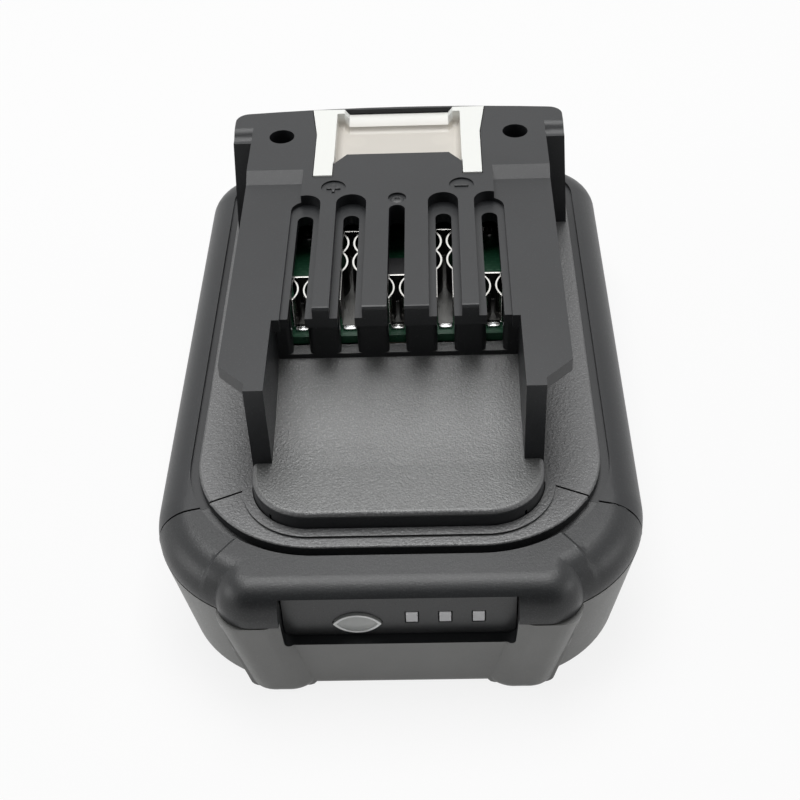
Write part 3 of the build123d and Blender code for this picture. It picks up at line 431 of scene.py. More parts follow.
class Finishes:
    """Every finish of the pack, made once."""

    def __init__(self) -> None:
        """Make all materials."""
        self.satin = moulded("case_satin", (0.014, 0.015, 0.0165), 0.36, (0.45, 0.006), shine=0.4)
        # The cover, the ring and the pad carry painted glints on their grain.
        self.cover = moulded("cover_satin", (0.015, 0.016, 0.017), 0.34, (0.4, 0.02), shine=0.42, sparkle=0.8)
        self.grained = moulded("case_grained", (0.045, 0.046, 0.047), 0.40, (0.5, 0.07), shine=1.0, sparkle=1.2)
        self.pad = moulded("case_pad", (0.060, 0.062, 0.061), 0.40, (0.42, 0.07), shine=1.0, sparkle=0.9)
        self.tub = moulded("case_lower", (0.118, 0.119, 0.114), 0.42, (0.45, 0.006), shine=0.9)
        self.panel = moulded("panel_dark", (0.026, 0.027, 0.028), 0.32, (0.2, 0.003))
        self.button = moulded("button_silver", (0.46, 0.47, 0.46), 0.22, (0.12, 0.001))
        self.button_rim = moulded("button_rim", (0.80, 0.81, 0.80), 0.25, (0.12, 0.001))
        self.window = moulded("window_frosted", (0.60, 0.60, 0.61), 0.4, (0.1, 0.002))
        self.latch = LatchPlastic().make()
        self.holder = moulded("holder_black", (0.02, 0.02, 0.022), 0.45, (0.45, 0.012))
        self.chip = moulded("chip_black", (0.018, 0.018, 0.02), 0.5, (0.15, 0.012))
        self.lamp = moulded("lamp_white", (0.8, 0.8, 0.74), 0.3, (0.1, 0.012))
        self.contact = BrightMetal(
            "contact_nickel", (0.82, 0.81, 0.78), roughness=0.16, tarnish=(0.6, 0.57, 0.5)
        ).make()
        # A darker copy of the nickel: painted shade for the contacts' lower faces.
        self.contact_shade = BrightMetal(
            "contact_shaded", (0.13, 0.13, 0.125), roughness=0.32, tarnish=(0.04, 0.038, 0.035)
        ).make()
        self.solder = BrightMetal("solder_tin", (0.72, 0.73, 0.74), roughness=0.22).make()
        self.strip = BrightMetal("strip_nickel", (0.62, 0.6, 0.56), roughness=0.3).make()
        self.screw = BrightMetal("screw_zinc", (0.5, 0.5, 0.5), roughness=0.32).make()
        self.spring = BrightMetal("spring_steel", (0.5, 0.5, 0.5), roughness=0.28).make()
        self.board = BoardLacquer().make()
        self.sleeve = PrintedSleeve("cell_sleeve", (0.03, 0.16, 0.38)).make()
        self.paper = PrintedSleeve("insulator_paper", (0.5, 0.46, 0.34), roughness=0.6).make()
        self.film = PrintedSleeve("cable_film", (0.62, 0.58, 0.46), roughness=0.4).make()


# ---- mesh helpers ----


def cad_copy(node: str) -> BMesh:
    """Copy a CAD node's mesh, join its loose triangles and dissolve its flat areas."""
    shape = bmesh.new()
    shape.from_mesh(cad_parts[node].data)
    bmesh.ops.remove_doubles(shape, verts=shape.verts[:], dist=JOIN_DISTANCE)
    bmesh.ops.dissolve_limit(shape, angle_limit=FLAT_ANGLE, verts=shape.verts[:], edges=shape.edges[:])
    bmesh.ops.dissolve_degenerate(shape, dist=2 * JOIN_DISTANCE, edges=shape.edges[:])
    return shape


def adopt(
    shape: BMesh, name: str, materials: list[Material], body: Body, nodes: tuple[str, ...] = ()
) -> Object:
    """Turn a finished bmesh into a piece that rides on a body.

    Args:
        shape: The mesh under construction, freed here.
        name: The piece's name.
        materials: Its materials, in slot order.
        body: The body that it rides on.
        nodes: The CAD nodes that it stands for.

    Returns:
        The new object.
    """
    mesh = bpy.data.meshes.new(name)
    shape.to_mesh(mesh)
    shape.free()
    piece = bpy.data.objects.new(name, mesh)
    bpy.context.scene.collection.objects.link(piece)
    for material in materials:
        mesh.materials.append(material)
    mesh.shade_smooth()
    mesh.set_sharp_from_angle(angle=SHARP_ANGLE)
    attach(piece, body.value)
    if nodes:
        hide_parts(*nodes)
    return piece


def soften(piece: Object, width: float, segments: int = 2, slot: int = -1) -> None:
    """Round a piece's sharp edges and even out its shading.

    Args:
        piece: The piece.
        width: Width of the rounding in metres.
        segments: Steps across the rounding.
        slot: Material slot for the rounding, or -1 to keep the faces' own.
    """
    rounding = piece.modifiers.new("edge_round", "BEVEL")
    rounding.width = width
    rounding.segments = segments
    rounding.limit_method = "ANGLE"
    rounding.angle_limit = SHARP_ANGLE
    rounding.use_clamp_overlap = True
    rounding.miter_outer = "MITER_ARC"
    rounding.material = slot
    rounding.harden_normals = False
    normals = piece.modifiers.new("even_shading", "WEIGHTED_NORMAL")
    normals.keep_sharp = True


def turn(
    shape: BMesh, place: Point, profile: list[tuple[float, float, float]], steps: int = 36, lobes: int = 6
) -> None:
    """Turn a capped shape upright from its profile, in millimetres.

    Args:
        shape: The mesh to add to.
        place: Middle of the shape at height 0 of the profile.
        profile: Radius, height and depth of the lobes at each ring, from one end to the other.
        steps: Steps round it.
        lobes: Number of lobes round it.
    """
    centre = Vector(place) * MM
    start = Matrix.Translation(centre)
    disc = bmesh.ops.create_circle(shape, cap_ends=True, segments=steps, radius=MM, matrix=start)
    cap = disc["verts"][0].link_faces[0]
    for index, (radius, height, wave) in enumerate(profile):
        if index:
            grown = bmesh.ops.extrude_face_region(shape, geom=[cap])
            if index > 1:
                bmesh.ops.delete(shape, geom=[cap], context="FACES_ONLY")
            cap = next(item for item in grown["geom"] if isinstance(item, BMFace))
        for vert in cap.verts:
            aim = Vector((vert.co.x - centre.x, vert.co.y - centre.y, 0.0)).normalized()
            reach = radius * (1 + wave * cos(lobes * atan2(aim.y, aim.x)))
            vert.co = centre + aim * reach * MM + Vector((0.0, 0.0, height * MM))


def add_box(shape: BMesh, low: Point, high: Point) -> None:
    """Add a block between two corners, given in millimetres."""
    spread = [(high[axis] - low[axis]) * MM for axis in range(3)]
    middle = [(high[axis] + low[axis]) / 2 * MM for axis in range(3)]
    stretch = Matrix.Diagonal((*spread, 1.0))
    bmesh.ops.create_cube(shape, size=1.0, matrix=Matrix.Translation(middle) @ stretch)


def round_edges(shape: BMesh, edges: list[BMEdge], width: float, segments: int) -> None:
    """Round the given edges, if there are any."""
    if edges:
        bmesh.ops.bevel(
            shape, geom=edges, offset=width, segments=segments, profile=0.5, material=-1, affect="EDGES",
            clamp_overlap=True,
        )


def places(shape: BMesh) -> Iterator[tuple[BMVert, float, float, float]]:
    """Go through the vertices, each with its place in millimetres."""
    for vert in shape.verts:
        yield vert, *(value / MM for value in vert.co)


def slice_at(shape: BMesh, place: Vector, across: Point) -> None:
    """Cut the whole mesh along a plane without taking anything away."""
    everything = shape.verts[:] + shape.edges[:] + shape.faces[:]
    bmesh.ops.bisect_plane(shape, geom=everything, plane_co=place, plane_no=across, dist=JOIN_DISTANCE)


def dress(node: str, material: Material) -> None:
    """Give a carried-over CAD node its finish."""
    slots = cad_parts[node].data.materials
    slots.clear()
    slots.append(material)


# ---- sub-assemblies ----


@dataclass(frozen=True)
class CasePlan:
    """Plan outline of the lower case as the CAD has it, in millimetres, and its distances."""

    half_width: float = 39.0
    front: float = -57.4
    back: float = 59.0
    front_corner: float = 21.2
    back_corner: float = 11.5
    draft: float = 2.0
    split_z: float = 16.0

    def taper(self, z: float) -> float:
        """Give 0 at the split and 1 at the ground."""
        return min(1.0, max(0.0, 1.0 - z / self.split_z))

    def depth_inside(self, x: float, y: float, z: float) -> float:
        """Measure how far a point in millimetres lies inside the outline; less than 0 is outside."""
        shrink = self.draft * self.taper(z)
        middle = (self.front + self.back) / 2
        corner = (self.front_corner if y < middle else self.back_corner) - shrink
        across = abs(x) - (self.half_width - shrink - corner)
        along = (self.front + shrink + corner - y) if y < middle else (y - (self.back - shrink - corner))
        outside = Vector((max(across, 0.0), max(along, 0.0))).length
        return corner - outside - min(max(across, along), 0.0)


@dataclass
class Housing:
    """The three moulded pieces of the case."""

    finishes: Finishes
    plan: CasePlan = field(default_factory=CasePlan)
    edge: float = 0.2 * MM
    skin: float = 1.72
    wells: Pairs = CASE_WELLS
    well_reach: float = 2.7
    side_pull: float = 2.0
    lean_fade: Pair = (5.0, 50.0)
    front_push: float = 2.0
    push_fade: Pair = (-36.0, 10.0)
    proud: float = -0.15
    centre_hold: Pair = (5.0, 16.0)
    pillar_foot: Pair = (15.0, 23.6)
    groove_half: float = 34.0
    groove_band: Pair = (-52.2, -38.0)
    groove_fade: Pair = (-49.0, -38.5)
    groove_z: float = 21.5
    groove_drop: float = 0.6
    parting: float = 0.32
    rim_width: float = 0.6
    notch_half: float = 18.1
    notch_floor: float = 10.2
    notch_flare: float = 1.0
    notch_depth: float = 6.0
    notch_facing: float = -0.3
    notch_corner: float = 1.7
    seam_line: Pairs = ((42.0, -42.0), (29.6, -38.8), (23.1, -35.8))
    seam_open: float = 0.26
    seam_close: float = 0.09
    skin_z: float = 21.9
    shoulder_round: float = 5.5
    shoulder_foot: float = 16.6
    wall_share: float = 0.5
    bumper_rise: float = 0.75
    bumper_slope: float = 0.8
    bumper_foot: Pair = (17.0, 21.8)
    bumper_end: float = -43.0
    bumper_sliver: float = 0.05
    bumper_sides: tuple[tuple[float, float, float, float], ...] = ((27.6, -50.0, 0.80, 0.60),)
    grain_floor: float = 22.7 * MM
    grain_ceiling: float = 31.6 * MM
    pad_top: float = 26.2 * MM
    up_facing: float = 0.35
    bumper_back: float = -49.6
    ring_centre: Pair = (12.6, -28.9)
    groove_reach: float = 21.5
    step_moves: tuple[tuple[Pair, float], ...] = (((22.5, 41.8), -0.5), ((24.2, 43.2), 0.4))
    finger_tip: Pair = (-15.9, 43.2)
    finger_round: float = 0.6

    def grained(self, face: BMFace) -> int:
        """Give the slot of a face: 1 on the grained ring, 2 on the pad or the ramp, 0 elsewhere."""
        middle = face.calc_center_median()
        if face.normal.z <= self.up_facing or not self.grain_floor < middle.z < self.grain_ceiling:
            return 0
        if middle.y < self.bumper_back * MM:
            return 0
        return 2 if middle.z > self.pad_top else 1

    def in_notch(self, face: BMFace) -> bool:
        """Tell whether a face of the lower case lies in the gauge notch, whose faces get the dark satin as painted
        shade under the panel and bumper.
        """
        x, y, z = face.calc_center_median() / MM
        inside = abs(x) < self.notch_half + 0.1 and self.notch_floor - 0.1 < z < self.plan.split_z + 0.1
        return inside and y < self.plan.front + self.notch_depth and face.normal.y > self.notch_facing

    def share(self, value: float, low: float, high: float) -> float:
        """Rise smoothly from 0 at low to 1 at high."""
        part = min(1.0, max(0.0, (value - low) / (high - low)))
        return part * part * (3 - 2 * part)

    def lean_walls(self, shape: BMesh) -> None:
        """Set the lower case's front upright and lean its sides and corners in further, as photographed."""
        for vert, x, y, z in places(shape):
            inside = self.plan.depth_inside(x, y, z)
            in_well = any(Vector((abs(x) - at, y - along)).length < self.well_reach for at, along in self.wells)
            if z >= self.plan.split_z - 0.01 or inside > self.skin or in_well:
                continue
            taper = self.plan.taper(z)
            side = 1.0 if x > 0 else -1.0
            lean = self.side_pull * (1 - self.share(y, *self.lean_fade))
            pull = lean * self.share(abs(x), *self.centre_hold)
            if inside < self.proud:
                pull = lean * (1 - self.share(abs(x), *self.pillar_foot))
            push = self.front_push * (1 - self.share(y, *self.push_fade)) * taper
            vert.co.x -= side * pull * taper * MM
            vert.co.y = max(y - push, min(y, self.plan.front)) * MM

    def open_parting(self, shape: BMesh) -> None:
        """Lift the outer rim of a piece off the split, which leaves a shadow line."""
        for vert, x, y, z in places(shape):
            if abs(z - self.plan.split_z) < NEAR and self.plan.depth_inside(x, y, z) < self.rim_width:
                vert.co.z += self.parting * MM

    def deepen_groove(self, shape: BMesh) -> None:
        """Deepen the groove in front of the ring."""
        for vert, x, y, z in places(shape):
            in_band = abs(x) <= self.groove_half and self.groove_band[0] < y < self.groove_band[1]
            if in_band and abs(z - self.groove_z) < NEAR:
                vert.co.z -= self.groove_drop * (1 - self.share(y, *self.groove_fade)) * MM

    def raise_bumper(self, shape: BMesh) -> None:
        """Let the bumper stand a step above the shoulders, from the groove to its own rounded ends."""
        for x, y, across, along in self.bumper_sides:
            for side in (-1.0, 1.0):
                for step in (0.0, self.bumper_slope):
                    place = Vector((side * (x + across * step), y + along * step, 0.0)) * MM
                    slice_at(shape, place, (side * across, along, 0.0))
        for vert, x, y, z in places(shape):
            out = max((abs(x) - at) * across + (y - start) * along for at, start, across, along in self.bumper_sides)
            lift = self.bumper_rise * (1 - self.share(out, 0.0, self.bumper_slope)) * self.share(z, *self.bumper_foot)
            from_ring = Vector((max(abs(x) - self.ring_centre[0], 0.0), max(self.ring_centre[1] - y, 0.0))).length
            outside = from_ring > self.groove_reach + 0.1 or (from_ring > self.groove_reach - 0.1 and z > 21.9)
            if lift > 0 and z < 22.4 and y < self.bumper_end and outside and self.on_skin(x, y, z):
                vert.co.z += lift * MM
        bmesh.ops.dissolve_degenerate(shape, dist=self.bumper_sliver * MM, edges=shape.edges[:])
        bmesh.ops.dissolve_limit(shape, angle_limit=FLAT_ANGLE, verts=shape.verts[:], edges=shape.edges[:])

    def open_seam(self, shape: BMesh) -> None:
        """Draw the front cover back from its seam with the upper case."""
        for vert, x, y, z in places(shape):
            for (x1, y1), (x2, y2) in zip(self.seam_line, self.seam_line[1:]):
                run = Vector((x2 - x1, y2 - y1))
                part = Vector((abs(x) - x1, y - y1)).dot(run) / run.length_squared
                gap = Vector((abs(x) - x1 - part * run.x, y - y1 - part * run.y)).length
                if 0 <= part <= 1 and gap < 0.05 and z > self.plan.split_z + 0.2:
                    vert.co.y += (-self.seam_open if self.on_skin(x, y, z) else self.seam_close) * MM
                    break

    def on_skin(self, x: float, y: float, z: float) -> bool:
        """Tell whether a point of the front cover lies on its outer surface."""
        depth = self.plan.depth_inside(x, y, self.plan.split_z)
        if depth > self.shoulder_round:
            return z > self.skin_z
        reach = Vector((self.shoulder_round - depth, max(z - self.shoulder_foot, 0.0))).length
        return reach > self.shoulder_round - self.wall_share

    def chamfer_notch(self, shape: BMesh) -> None:
        """Flare the mouth of the gauge notch in the lower case."""
        rim = []
        for edge in shape.edges:
            ends = [vert.co / MM for vert in edge.verts]
            low = all(self.notch_floor - 0.05 < end.z < self.plan.split_z + 0.05 for end in ends)
            near = all(end.y < self.plan.front + 0.1 and abs(end.x) < self.notch_half + 0.05 for end in ends)
            on_floor = all(abs(end.z - self.notch_floor) < 0.05 for end in ends)
            on_corner = all(abs(end.x) > self.notch_half - self.notch_corner for end in ends)
            if low and near and (on_floor or on_corner):
                rim.append(edge)
        round_edges(shape, rim, self.notch_flare * MM, 3)

    def ease_step(self, shape: BMesh) -> None:
        """Let the rails rise to the head in a gentler slope."""
        for vert, x, y, z in places(shape):
            for (at, height), move in self.step_moves:
                if abs(y - at) < STEP_NEAR and abs(z - height) < STEP_NEAR:
                    vert.co.y += move * MM

    def round_fingers(self, shape: BMesh) -> None:
        """Round the top front edges of the contact fingers."""
        at, height = self.finger_tip
        tips = [
            edge
            for edge in shape.edges
            if all(abs(v.co.y / MM - at) < STEP_NEAR and abs(v.co.z / MM - height) < STEP_NEAR for v in edge.verts)
        ]
        round_edges(shape, tips, self.finger_round * MM, 3)

    def build_upper(self) -> Object:
        """Make the upper case with rails, comb and head."""
        shape = cad_copy("upper_case")
        self.open_parting(shape)
        self.ease_step(shape)
        self.round_fingers(shape)
        return self.finish(shape, "upper_case")

    def build_lower(self) -> Object:
        """Make the lower case."""
        shape = cad_copy("lower_case")
        self.lean_walls(shape)
        self.chamfer_notch(shape)
        return self.finish(shape, "lower_case")

    def build_cover(self) -> Object:
        """Make the front cover with its bumper."""
        shape = cad_copy("front_cover")
        self.open_seam(shape)
        self.open_parting(shape)
        self.deepen_groove(shape)
        self.raise_bumper(shape)
        return self.finish(shape, "front_cover")

    def finish(self, shape: BMesh, node: str) -> Object:
        """Give a case piece its finishes and rounded edges.

        Args:
            shape: The piece's mesh.
            node: The CAD node that it stands for.

        Returns:
            The finished piece.
        """
        lower = node == "lower_case"
        for face in shape.faces:
            # The gauge notch's faces get the dark satin as painted shade; the rest of the lower case keeps its own
            # grey.
            face.material_index = 1 if lower and self.in_notch(face) else 0 if lower else self.grained(face)
        plain = self.finishes.cover if node == "front_cover" else self.finishes.satin
        upper_finishes = [plain, self.finishes.grained, self.finishes.pad]
        finishes = [self.finishes.tub, self.finishes.satin] if lower else upper_finishes
        piece = adopt(shape, f"{node}_moulding", finishes, Body.PACK, (node,))
        soften(piece, self.edge, segments=2)
        return piece

    def make(self) -> list[Object]:
        """Build the three mouldings."""
        return [self.build_upper(), self.build_lower(), self.build_cover()]


@dataclass
class ChargeGauge:
    """Panel, button and windows of the charge gauge."""

    finishes: Finishes
    rim: float = 0.34 * MM
    end_share: float = 1.6
    crown_steps: Pairs = ((0.08, -0.22), (0.3, 0.08), (0.4, 0.06), (0.4, 0.03))

    def build_panel(self) -> Object:
        """Dress the panel."""
        panel = adopt(cad_copy("gauge_panel"), "gauge_front_panel", [self.finishes.panel], Body.PACK, ("gauge_panel",))
        soften(panel, 0.15 * MM)
        return panel

    def step_in(self, shape: BMesh, face: BMFace, across: float, rise: float) -> None:
        """Step the face in by a margin on all sides and push it out along -Y.

        Args:
            shape: The mesh under construction.
            face: The face that moves.
            across: Margin at the top and the bottom, in metres.
            rise: How far it comes forward; less than 0 sinks it.
        """
        bmesh.ops.inset_region(shape, faces=[face], thickness=0.0, depth=0.0)
        xs = [vert.co.x for vert in face.verts]
        zs = [vert.co.z for vert in face.verts]
        middle = ((min(xs) + max(xs)) / 2, (min(zs) + max(zs)) / 2)
        half = ((max(xs) - min(xs)) / 2, (max(zs) - min(zs)) / 2)
        for vert in face.verts:
            vert.co.x = middle[0] + (vert.co.x - middle[0]) * (1 - self.end_share * across / half[0])
            vert.co.z = middle[1] + (vert.co.z - middle[1]) * (1 - across / half[1])
            vert.co.y -= rise

    def build_button(self) -> Object:
        """Make the button with a pale rim round a dished and crowned silver face."""
        shape = cad_copy("gauge_button")
        ahead = [face for face in shape.faces if face.normal.y < -0.9]
        front = min(ahead, key=lambda face: face.calc_center_median().y)
        front.material_index = 1
        self.step_in(shape, front, self.rim, 0.0)
        front.material_index = 0
        for across, rise in self.crown_steps:
            self.step_in(shape, front, across * MM, rise * MM)
        bmesh.ops.poke(shape, faces=[front])
        button = adopt(
            shape, "gauge_key_cap", [self.finishes.button, self.finishes.button_rim], Body.GAUGE_KEY, ("gauge_button",)
        )
        return button

    def build_windows(self) -> Object:
        """Dress the light guide."""
        shape = cad_copy("gauge_light_guide")
        guide = adopt(shape, "gauge_window_guide", [self.finishes.window], Body.PACK, ("gauge_light_guide",))
        soften(guide, 0.06 * MM)
        return guide

    def make(self) -> list[Object]:
        """Build the gauge's visible pieces and dress the rest."""
        dress("gauge_board", self.finishes.board)
        dress("gauge_leds", self.finishes.lamp)
        dress("gauge_switch", self.finishes.screw)
        dress("gauge_cable", self.finishes.film)
        return [self.build_panel(), self.build_button(), self.build_windows()]


@dataclass
class ReleaseLatch:
    """The white latch and its two coil springs."""

    finishes: Finishes
    edge: float = 0.3 * MM
    spring_places: Pairs = ((-8.0, 38.0), (8.0, 38.0))
    spring_floor: float = 24.05 * MM
    spring_height: float = 7.0 * MM
    spring_travel: float = 3.2 * MM
    coil_radius: float = 2.2 * MM
    wire_radius: float = 0.28 * MM
    turns: float = 5.0
    turn_steps: int = 20
    plate_z: float = 40.4
    rim_cuts: Pair = (9.4, 10.3)
    rim_drop: float = 1.2
    rim_from: float = 2.0
    scoop_share: float = 0.8
    scoop_from: float = 41.9
    scoop_run: float = 1.7

    def build_springs(self) -> Object:
        """Wind both springs as one piece."""
        shape = bmesh.new()
        steps = int(self.turns * self.turn_steps)
        climb = self.spring_height - 2 * self.wire_radius
        for x, y in self.spring_places:
            centre = Vector((x * MM, y * MM, self.spring_floor + self.wire_radius))
            start = Matrix.Translation(centre + Vector((self.coil_radius, 0.0, 0.0))) @ Matrix.Rotation(pi / 2, 4, "X")
            wire = bmesh.ops.create_circle(shape, cap_ends=True, segments=8, radius=self.wire_radius, matrix=start)
            disc = list({face for vert in wire["verts"] for face in vert.link_faces})
            edges = list({edge for face in disc for edge in face.edges})
            bmesh.ops.spin(
                shape, geom=wire["verts"] + edges + disc, cent=centre, axis=(0.0, 0.0, 1.0),
                dvec=(0.0, 0.0, climb / steps), angle=self.turns * tau, steps=steps, use_duplicate=False,
            )
        bmesh.ops.recalc_face_normals(shape, faces=shape.faces[:])
        springs = adopt(shape, "latch_coils", [self.finishes.spring], Body.PACK, ("latch_springs",))
        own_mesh(springs)
        return springs

    def scoop_plate(self, shape: BMesh) -> None:
        """Let the thumb plate sweep up to a low back edge between the arms."""
        for side in (-1.0, 1.0):
            for at in self.rim_cuts:
                slice_at(shape, Vector((side * at * MM, 0.0, 0.0)), (1.0, 0.0, 0.0))
        for vert, x, y, z in places(shape):
            if abs(x) > self.rim_cuts[0] + 0.01 or z < self.plate_z - 0.02:
                continue
            if z > self.plate_z + self.rim_from:
                vert.co.z = (z - self.rim_drop) * MM
            elif y > self.scoop_from:
                vert.co.y = (y - self.scoop_run) * MM
                vert.co.z = (self.plate_z + (z - self.plate_z) * self.scoop_share) * MM

    def make(self) -> list[Object]:
        """Build the latch."""
        shape = cad_copy("latch_button")
        self.scoop_plate(shape)
        latch = adopt(shape, "release_latch", [self.finishes.latch], Body.LATCH, ("latch_button",))
        soften(latch, self.edge, segments=3)
        return [latch, self.build_springs()]


@dataclass
class ContactSet:
    """The main board with its five tulip contacts, whose lower faces get a darker copy of the nickel as painted shade.
    """

    finishes: Finishes
    edge: float = 0.07 * MM
    up_facing: float = 0.6
    crest_band: float = 0.5
    tip_band: float = 1.2
    joint_half: float = 1.1
    joint_run: Pair = (0.9, 0.5)
    joint_height: float = 0.4
    joint_round: float = 0.12
    names: tuple[str, ...] = ("temp_contact", "positive_contact", "data_contact", "negative_contact", "id_contact")

    def make(self) -> list[Object]:
        """Build the contacts and the board."""
        pieces = []
        joints = bmesh.new()
        top_of_board = max(vert.co.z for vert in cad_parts["main_board"].data.vertices) / MM
        for name in self.names:
            shape = cad_copy(name)
            crest = max(vert.co.z for vert in shape.verts)
            tip = min(vert.co.y for vert in shape.verts)
            middle = (max(vert.co.x for vert in shape.verts) + min(vert.co.x for vert in shape.verts)) / 2 / MM
            # Painted shade: only the upward-facing crests and the front tips keep the bright nickel, and the other
            # faces get the darker copy.
            for face in shape.faces:
                centre = face.calc_center_median()
                lit = face.normal.z > self.up_facing and centre.z > crest - self.crest_band * MM
                face.material_index = 0 if lit or centre.y < tip + self.tip_band * MM else 1
            half, (ahead, behind) = self.joint_half, self.joint_run
            low = (middle - half, tip / MM - ahead, top_of_board - 0.05)
            high = (middle + half, tip / MM + behind, top_of_board + self.joint_height)
            add_box(joints, low, high)
            contact = adopt(
                shape, f"{name}_tulip", [self.finishes.contact, self.finishes.contact_shade], Body.PACK, (name,)
            )
            soften(contact, self.edge)
            pieces.append(contact)
        round_edges(joints, joints.edges[:], self.joint_round * MM, 2)
        solder = adopt(joints, "solder_joints", [self.finishes.solder], Body.PACK)
        pieces.append(solder)
        board = adopt(cad_copy("main_board"), "main_circuit_board", [self.finishes.board], Body.PACK, ("main_board",))
        soften(board, 0.08 * MM)
        dress("power_switch_chips", self.finishes.chip)
        dress("control_chip", self.finishes.chip)
        return pieces + [board]


@dataclass
class MouldedMarks:
    """Raised plus and minus signs and the gate mark on the middle plate."""

    finishes: Finishes
    plus_place: Pair = (-11.4, 18.6)
    minus_place: Pair = (11.4, 18.6)
    gate_place: Pair = (0.0, 14.9)
    floor_z: float = 42.9
    gate_floor_z: float = 42.8
    half_length: float = 1.25
    half_width: float = 0.27
    height: float = 0.24
    sign_round: float = 0.08
    gate_profile: Pairs = (
        (1.25, -0.1), (1.2, 0.02), (0.9, 0.16), (0.55, 0.2), (0.42, 0.12), (0.36, -0.05), (0.3, -0.1)
    )

    def build_signs(self) -> Object:
        """Raise both signs from the floors of their recesses."""
        shape = bmesh.new()
        bars = (
            (self.plus_place, self.half_length, self.half_width),
            (self.plus_place, self.half_width, self.half_length),
            (self.minus_place, self.half_length, self.half_width),
        )
        for index, ((x, y), reach_x, reach_y) in enumerate(bars):
            top = self.floor_z + self.height - 0.01 * (index % 2)
            add_box(shape, (x - reach_x, y - reach_y, self.floor_z - 0.1), (x + reach_x, y + reach_y, top))
        round_edges(shape, shape.edges[:], self.sign_round * MM, 2)
        signs = adopt(shape, "polarity_signs", [self.finishes.satin], Body.PACK)
        return signs

    def build_gate(self) -> Object:
        """Raise the low dome with a pit that the mould's gate leaves."""
        shape = bmesh.new()
        turn(shape, (*self.gate_place, self.gate_floor_z), [(*step, 0.0) for step in self.gate_profile])
        bmesh.ops.recalc_face_normals(shape, faces=shape.faces[:])
        gate = adopt(shape, "gate_mark", [self.finishes.satin], Body.PACK)
        return gate

    def make(self) -> list[Object]:
        """Build the marks."""
        return [self.build_signs(), self.build_gate()]


def both(*spots: Pair) -> Pairs:
    """Place each spot on the left and on the right."""
    return tuple((side * x, y) for x, y in spots for side in (-1, 1))


@dataclass(frozen=True)
class ScrewSpec:
    """Sizes in millimetres of one kind of screw, and where its copies stand."""

    node: str
    places: Pairs
    seat_z: float
    head: float
    height: float
    shank: float
    reach: float


@dataclass
class Fasteners:
    """Self-tapping screws with six-lobed recesses."""

    finishes: Finishes
    lobe_share: float = 0.5
    lobe_wave: float = 0.16
    recess_depth: float = 0.62
    edge: float = 0.22
    pitch: float = 1.1
    thread_share: float = 0.78
    specs: tuple[ScrewSpec, ...] = (
        ScrewSpec("case_screws", both(*CASE_WELLS), 8.0, 2.2, 1.8, 1.3, 10.5),
        ScrewSpec("head_screws", both((21.8, 35.9)), 28.0, 2.0, 1.7, 1.2, -6.5),
        ScrewSpec("board_screws", both((16.4, 17.2)), 33.0, 1.7, 1.2, 0.9, -6.0),
    )

    def profile(self, spec: ScrewSpec) -> list[tuple[float, float, float]]:
        """List a screw's rings from the recess floor to the tip.

        Args:
            spec: The kind of screw.

        Returns:
            Radius, distance from the seat towards the head, and depth of the lobes.
        """
        socket = spec.head * self.lobe_share
        rings = [
            (socket * 0.92, spec.height * (1 - self.recess_depth), self.lobe_wave),
            (socket, spec.height, self.lobe_wave),
            (spec.head - self.edge, spec.height, 0.0),
            (spec.head, spec.height - self.edge, 0.0),
            (spec.head, 0.0, 0.0),
            (spec.shank, 0.0, 0.0),
        ]
        depth = self.pitch / 2
        length = abs(spec.reach)
        while depth < length - self.pitch:
            rings.append((spec.shank * self.thread_share, -depth, 0.0))
            rings.append((spec.shank, -depth - self.pitch / 2, 0.0))
            depth += self.pitch
        rings.append((spec.shank * 0.5, -length, 0.0))
        return rings

    def build(self, spec: ScrewSpec) -> Object:
        """Build all screws of one kind as one piece."""
        shape = bmesh.new()
        up = -1.0 if spec.reach > 0 else 1.0
        rings = [(radius, up * rise, wave) for radius, rise, wave in self.profile(spec)]
        for x, y in spec.places:
            turn(shape, (x, y, spec.seat_z), rings)
        bmesh.ops.recalc_face_normals(shape, faces=shape.faces[:])
        screws = adopt(shape, f"{spec.node}_lobed", [self.finishes.screw], Body.PACK, (spec.node,))
        return screws

    def make(self) -> list[Object]:
        """Build every kind of screw."""
        return [self.build(spec) for spec in self.specs]


@dataclass
class CellRow:
    """Cells, holders, strips and the pieces around them."""

    finishes: Finishes

    def make(self) -> list[Object]:
        """Dress the inner pieces."""
        for number in range(1, 6):
            dress(f"cell_{number}", self.finishes.sleeve)
        for pair in ("1_2", "2_3", "3_4", "4_5"):
            dress(f"link_strip_{pair}", self.finishes.strip)
        for name in ("negative_tab_strip", "positive_tab_strip"):
            dress(name, self.finishes.strip)
        for name in ("cell_holder_left", "cell_holder_right", "board_carrier"):
            dress(name, self.finishes.holder)
        for name in ("insulator_left", "insulator_right"):
            dress(name, self.finishes.paper)
        dress("temperature_sensor", self.finishes.chip)
        return []


# ---- studio ----


